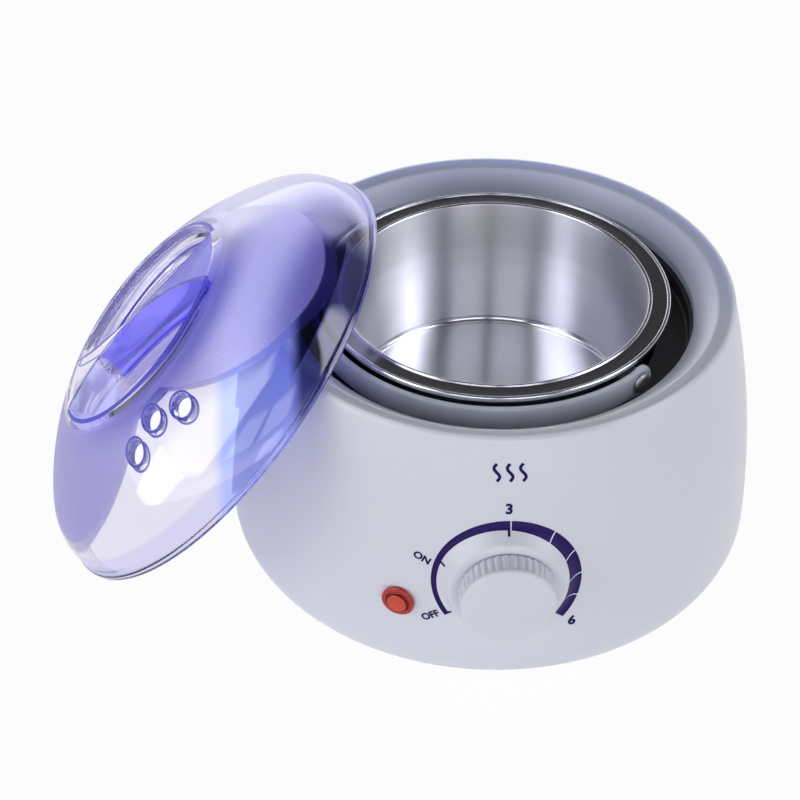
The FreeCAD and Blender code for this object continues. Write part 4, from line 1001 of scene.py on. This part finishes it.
def lid_finish():
    """Tinted plastic in two finishes, mixed by a mask: clear, and frosted on a disc round the
    grip with three round lobes. Positions are measured across (a) and up (u) the lid's slope.
    The colour turns a stronger blue with a painted glow in the front recess and beside it;
    painted dark blue lines with a blue glow run along the edges of the recesses and vents, where
    light leaves the plastic; where the plastic stands before the housing it takes the painted
    blue shade of the housing seen through it, and over the black well the painted dark of the
    well; a painted sheen lies on the upper field. The slant, by which light falls on the frosted
    field, runs 66 degrees up from across; the field is painted darker beyond it."""
    grip = sizes().grip_radius
    paint = Paint("lid_plastic", IOR=1.52, Transmission_Weight=1.0, Emission_Strength=1.0)
    place = lid_frame()
    shift = paint.node("ShaderNodeVectorMath", {"operation": "SUBTRACT"},
                       {0: paint.place, 1: tuple(place.translation * 0.001)})
    a, u = (paint.node("ShaderNodeVectorMath", {"operation": "DOT_PRODUCT"},
                       {0: shift, 1: tuple(axis[:3])}, 1) * 1000.0 for axis in place.col[:2])
    x = paint.split(paint.place, 1000.0)[0]

    def distance(away, turn):
        """Distance from a spot that lies at a radius and an angle."""
        angle = math.radians(turn)
        return (a - away * math.cos(angle)).hypot(u - away * math.sin(angle))

    radius = a.hypot(u)
    disc, lobe, lobe_away, fade = 39.6, 32.0, 30.4, 0.6
    lobes = [distance(lobe_away, turn).between(lobe, lobe - fade) for turn in (68.0, -52.0, 188.0)]
    frost = radius.between(disc, disc - fade).most(*lobes) * radius.between(34.6, 36.2)
    front = a > 0.0
    within = radius < grip
    outside = 1.0 - within
    across = a.math("ABSOLUTE") - (GRIP_CENTRE - (GRIP_CURVE ** 2 - u * u).math("SQRT"))
    pocket = across.between(0.0, 0.3) * within * front
    # Painted glow: the front recess's fin wall, the wedge and the field beside the recess take a
    # strong blue and an emitted blue glow.
    fin_wall = pocket * u.between(-17.0, -14.0) * across.between(3.6, 3.2)
    # Painted glow: the pale foot of the front recess.
    foot = pocket * u.between(-16.0, -18.0)
    wedge = (across < 0.0) * within * u.between(6.0, 16.0)
    beside = radius.between(46.0, 34.0) * a.between(-4.0, 16.0) * u.between(-34.0, 6.0) * outside
    # Painted sheen: the upper field away from the grip is pale, with a faint painted glow.
    upper = a.between(2.0, -10.0) * u.between(14.0, 30.0) * outside
    beyond = radius - grip
    seam = beyond.between(-0.1, 0.1) * beyond.between(1.4, 1.1) * (across > -0.3)
    edge = across.between(-0.9, -0.6) * across.between(0.1, 0.0) * within
    crease = across.near(3.4, 0.7, 0.4) * within * front * u.between(-15.0, -12.0)
    vents = [distance(*spot).near(VENT + 0.45, 0.4, 0.2) for spot in VENTS]
    # Painted shade and glow: dark blue lines along the recesses' and vents' edges.
    line = seam.most(edge, crease, *vents)
    # Painted shade and glow: where the lid stands before the housing it takes the blue of the
    # shaded housing seen through it, with a faint painted glow.
    before = x.between(-77.0, -73.0) * a.between(4.0, 12.0) * (1.0 - frost) * outside
    # Painted shade: over the black well the lid takes the dark of the well seen through it.
    over = x.between(-57.0, -53.0) * before
    slant = a * 0.407 + u * 0.913
    lit = slant.between(32.0, 46.0) * slant.between(60.0, 49.0)
    grain = paint.noise(2100.0, 2.0)
    cloud = paint.noise(30.0, 3.0)
    black = (0.0, 0.0, 0.0, 1.0)
    # Colours of painted light: a strong blue for painted glow and shade, the pale glow where light
    # falls, and dark blue for painted edge shade.
    deep_blue_painted_light, glow, painted_edge_shade = tint("lid_deep_blue_painted_light"), tint("lid_glow"), tint("lid_painted_edge_shade")
    paint.feed(
        Base_Color=paint.layers(
            tint("lid"), (before, tint("lid_painted_housing_shade")), (over * (radius < 64.3), tint("lid_painted_well_shade")),
            (radius.between(64.2, 64.8) * 0.6, tint("lid_frost")),
            (fin_wall.most(wedge, beside * 0.85), deep_blue_painted_light), (line, painted_edge_shade)),
        Roughness=cloud * 0.02 + 0.02,
        # Painted glow before the housing.
        Emission_Color=paint.mix(before - over, black, shaded(tint("lid_painted_housing_shade"), 0.06)))
    clear = Socket(paint, paint.shader.outputs[0])
    matt = paint.node("ShaderNodeBsdfPrincipled", {}, {
        "Base Color": paint.layers(
            tint("lid_frost"), (upper, tint("lid")), (lit, glow),
            # Painted shade: the frosted field darkens beyond the lit band.
            (slant.between(50.0, 60.0) * frost * 0.5, deep_blue_painted_light),
            (grain.between(0.4, 0.6) * 0.25, tint("lid")), (beside.most(wedge), shaded(deep_blue_painted_light, 0.4)),
            (fin_wall, deep_blue_painted_light), (foot, glow), (line, painted_edge_shade)),
        "Emission Color": paint.layers(
            black, (upper.most(lit * frost), shaded(glow, 0.14)), (foot, shaded(glow, 0.3)),
            (fin_wall.most(wedge, beside * 0.8), shaded(deep_blue_painted_light, 0.28)), (line, painted_edge_shade)),
        "Emission Strength": 1.0, "Roughness": grain * 0.12 + 0.36, "IOR": 1.5,
        "Transmission Weight": 0.55, "Normal": paint.bump(grain, 0.4, 0.0003)})
    # The frosted finish is also mixed in where light and shade are painted: edges, recess, foot
    # and upper field.
    share = frost.most(line, fin_wall * 0.75, wedge * 0.85, foot * 0.8, upper * 0.6)
    return paint.finish(paint.node("ShaderNodeMixShader", {}, {0: share, 1: clear, 2: matt}))


# ---------------------------------------------------------------- carried-over pieces
def dress(node, material):
    """Gives a CAD node one material in every slot."""
    slots = NODES[node].material_slots
    if not slots:
        NODES[node].data.materials.append(material)
    for entry in slots:
        entry.material = material


class MELTER_OT_inside(bpy.types.Operator):
    """Finishes for the floor, feet, inlet, heater and fittings"""
    bl_idname = "melter.inside"
    bl_label = "Floor and fittings"

    def execute(self, context):
        white = tint("housing")
        finishes = (
            (moulded("floor_matt", shaded(white, 0.92), 0.5, 900.0, 0.12),
             "base_plate indicator_holder cord_clamp"),
            (moulded("inlet_white", shaded(white, 0.95), 0.4), "cord_inlet_bush inlet_nut"),
            (moulded("foot_rubber", (0.55, 0.55, 0.58, 1.0), 0.72, 700.0, 0.25),
             "rubber_foot_1 rubber_foot_2 rubber_foot_3 rubber_foot_4"),
            (plain_metal("plated_steel", (0.55, 0.55, 0.57, 1.0), 0.32),
             "heater_retainer thermostat_bracket thermal_fuse base_screws well_screws"
             " stack_screws bracket_screws"),
            (plain_metal("turned_brass", (0.6, 0.42, 0.16, 1.0), 0.3),
             "knob_shaft thermostat_bush bush_nut terminal_screws"),
            (plain_metal("cast_plate", (0.5, 0.5, 0.52, 1.0), 0.45), "heater_plate"),
            (plain_metal("element_dull", (0.2, 0.2, 0.21, 1.0), 0.5), "heating_element"),
            (moulded("pressed_fibre", (0.7, 0.66, 0.56, 1.0), 0.85, 400.0, 0.6), "insulation_pad"),
            (moulded("switch_black", (0.02, 0.02, 0.022, 1.0), 0.45), "thermostat_body fuse_clip"),
            (moulded("block_natural", (0.72, 0.7, 0.63, 1.0), 0.5), "terminal_block"),
        )
        for material, names in finishes:
            for name in names.split():
                dress(name, material)
        glass = Paint("lamp_glass", IOR=1.5, Transmission_Weight=0.9)
        speck = glass.noise(300.0, 2.0)
        dress("neon_lamp", glass.feed(
            Roughness=speck * 0.05 + 0.04,
            Base_Color=glass.mix(speck, (0.9, 0.7, 0.6, 1), (0.95, 0.8, 0.7, 1))))
        return {"FINISHED"}


# ---------------------------------------------------------------- stage
# The camera's place in metres, its direction of view, its roll in degrees and its focal length
# in millimetres, and half the floor's width in metres.
CAMERA_PLACE, CAMERA_AHEAD = (-0.04214, -0.50693, 0.4469), (0.0246, 0.7811, -0.6239)
CAMERA_ROLL, CAMERA_FOCAL, FLOOR_REACH = 0.335, 101.4, 4.0


class MELTER_OT_stage(bpy.types.Operator):
    """Camera, pale floor and soft surroundings"""
    bl_idname = "melter.stage"
    bl_label = "Stage"

    def execute(self, context):
        scene = context.scene
        scene.view_settings.view_transform = "Standard"
        lens = bpy.data.cameras.new("camera")
        lens.lens, lens.sensor_width = CAMERA_FOCAL, 36.0
        lens.clip_start, lens.clip_end = 0.01, 20.0
        camera = new_object("camera", lens)
        ahead = Vector(CAMERA_AHEAD).normalized()
        right = ahead.cross(Vector((0, 0, 1))).normalized()
        up = right.cross(ahead)
        roll = math.radians(CAMERA_ROLL)
        level = right * math.cos(roll) + up * math.sin(roll)
        upright = up * math.cos(roll) - right * math.sin(roll)
        turn = Matrix((level, upright, -ahead)).transposed().to_4x4()
        camera.matrix_world = Matrix.Translation(CAMERA_PLACE) @ turn
        scene.camera = camera

        floor = bpy.data.meshes.new("floor")
        signs = ((-1, -1), (1, -1), (1, 1), (-1, 1))
        floor.from_pydata([(x * FLOOR_REACH, y * FLOOR_REACH, 0) for x, y in signs],
                          [], [(0, 1, 2, 3)])
        plane = new_object("floor", floor)
        floor.materials.append(floor_finish())

        world = scene.world or bpy.data.worlds.new("studio")
        scene.world = world
        world.use_nodes = True
        studio_light(world.node_tree)
        aim = Vector((0, 0, 0.04))
        for name, place in (("low_front", (0.5, -1.5, 0.12)), ("low_left", (-1.4, -0.3, 0.15))):
            light = bpy.data.lights.new(name, "AREA")
            light.size = 0.5
            light.energy = 2.0
            lamp = new_object(name, light)
            lamp.location = place
            lamp.rotation_euler = (aim - Vector(place)).to_track_quat("-Z", "Y").to_euler()
        return {"FINISHED"}


def studio_light(tree):
    """Surroundings by direction: white low down all round, dim overhead, two upright soft boxes
    at the left and right, and two lower ones in front that only polished pieces show. Rays from
    the camera, or through the lid, see plain white."""
    tree.nodes.clear()
    nodes = Nodes(tree)
    way = nodes.node("ShaderNodeTexCoord", {}, {}, "Generated")
    x, y, z = nodes.split(way, 1.0)
    flat = x.hypot(y) + 0.001
    back = y / flat
    level = z.between(0.10, 0.44, 1.0, 0.03) * (back * back * 0.9 + back * 0.25 + 1.1)
    level = level * (1.0 - x / flat * 0.25)
    right = x > 0.0
    inner, outer = right * 0.19 - 0.74, right * 0.05 + 0.1
    box = ((back - inner) / 0.1).between(0.0, 1.0) * ((outer - back) / 0.25).between(0.0, 1.0)
    box = box * z.between(0.93, 0.85) * z.between(0.2, 0.3)
    aside = (x / flat).math("ABSOLUTE")
    near = aside.between(0.04, 0.07) * aside.between(0.55, 0.45) * (y < 0.0)
    near = near * z.between(0.3, 0.36) * z.between(0.72, 0.62)
    gloss = rays(nodes, "Glossy")
    strength = level + box * (gloss * (3.0 + right * 0.3) + right * 0.4 + 0.25)
    strength = (strength + near * gloss * 1.8) * 1.66
    soft = nodes.node("ShaderNodeBackground", {}, {0: (0.96, 0.965, 1.0, 1), 1: strength})
    white = nodes.node("ShaderNodeBackground", {}, {0: (1, 1, 1, 1), 1: 1.0})
    shown = rays(nodes, "Camera", "Transmission")
    blend = nodes.node("ShaderNodeMixShader", {}, {0: shown, 1: soft, 2: white})
    nodes.node("ShaderNodeOutputWorld", {}, {0: blend})


def floor_finish():
    """Pale floor that keeps the shadow: matt white lit by the studio, mixed with plain white
    for what the camera sees directly, in metal or through the lid."""
    material = bpy.data.materials.new("floor_pale")
    material.use_nodes = True
    material.node_tree.nodes.clear()
    nodes = Nodes(material.node_tree)
    matt = nodes.node("ShaderNodeBsdfDiffuse", {}, {0: tint("studio")})
    glow = nodes.node("ShaderNodeEmission", {}, {0: (1, 1, 1, 1), 1: 1.0})
    shown = rays(nodes, "Camera", "Glossy", "Transmission") * 0.96
    blend = nodes.node("ShaderNodeMixShader", {}, {0: shown, 1: matt, 2: glow})
    nodes.node("ShaderNodeOutputMaterial", {}, {0: blend})
    return material


def rays(nodes, *kinds):
    """One where a ray is of one of the kinds, such as Camera, Glossy or Transmission."""
    first, *others = [
        nodes.node("ShaderNodeLightPath", {}, {}, "Is %s Ray" % kind) for kind in kinds]
    return first.most(*others)


# ---------------------------------------------------------------- panel and registration
STEPS = (MELTER_OT_stage, MELTER_OT_housing, MELTER_OT_print, MELTER_OT_well, MELTER_OT_pot,
         MELTER_OT_bail, MELTER_OT_knob, MELTER_OT_lamp, MELTER_OT_lid, MELTER_OT_inside)


class MELTER_PT_panel(bpy.types.Panel):
    """Sidebar panel with the settings and one button for each step"""
    bl_idname = "MELTER_PT_panel"
    bl_label = "Wax melter"
    bl_space_type = "VIEW_3D"
    bl_region_type = "UI"
    bl_category = "Wax melter"

    def draw(self, context):
        for group in (context.scene.melter_sizes, context.scene.melter_colours):
            box = self.layout.box()
            for name in group.__annotations__:
                box.prop(group, name)
        for step in STEPS:
            self.layout.operator(step.bl_idname)


CLASSES = (MELTER_PG_sizes, MELTER_PG_colours, *STEPS, MELTER_PT_panel)


def register():
    for cls in CLASSES:
        bpy.utils.register_class(cls)
    bpy.types.Scene.melter_sizes = PointerProperty(type=MELTER_PG_sizes)
    bpy.types.Scene.melter_colours = PointerProperty(type=MELTER_PG_colours)


def unregister():
    del bpy.types.Scene.melter_colours
    del bpy.types.Scene.melter_sizes
    for cls in reversed(CLASSES):
        bpy.utils.unregister_class(cls)


def main():
    """Registers the add-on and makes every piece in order."""
    register()
    bpy.ops.melter.stage()
    bpy.ops.melter.housing()
    bpy.ops.melter.print_marks()
    bpy.ops.melter.well()
    bpy.ops.melter.pot()
    bpy.ops.melter.bail()
    bpy.ops.melter.knob()
    bpy.ops.melter.lamp()
    bpy.ops.melter.lid()
    bpy.ops.melter.inside()


if __name__ == "__main__":
    main()
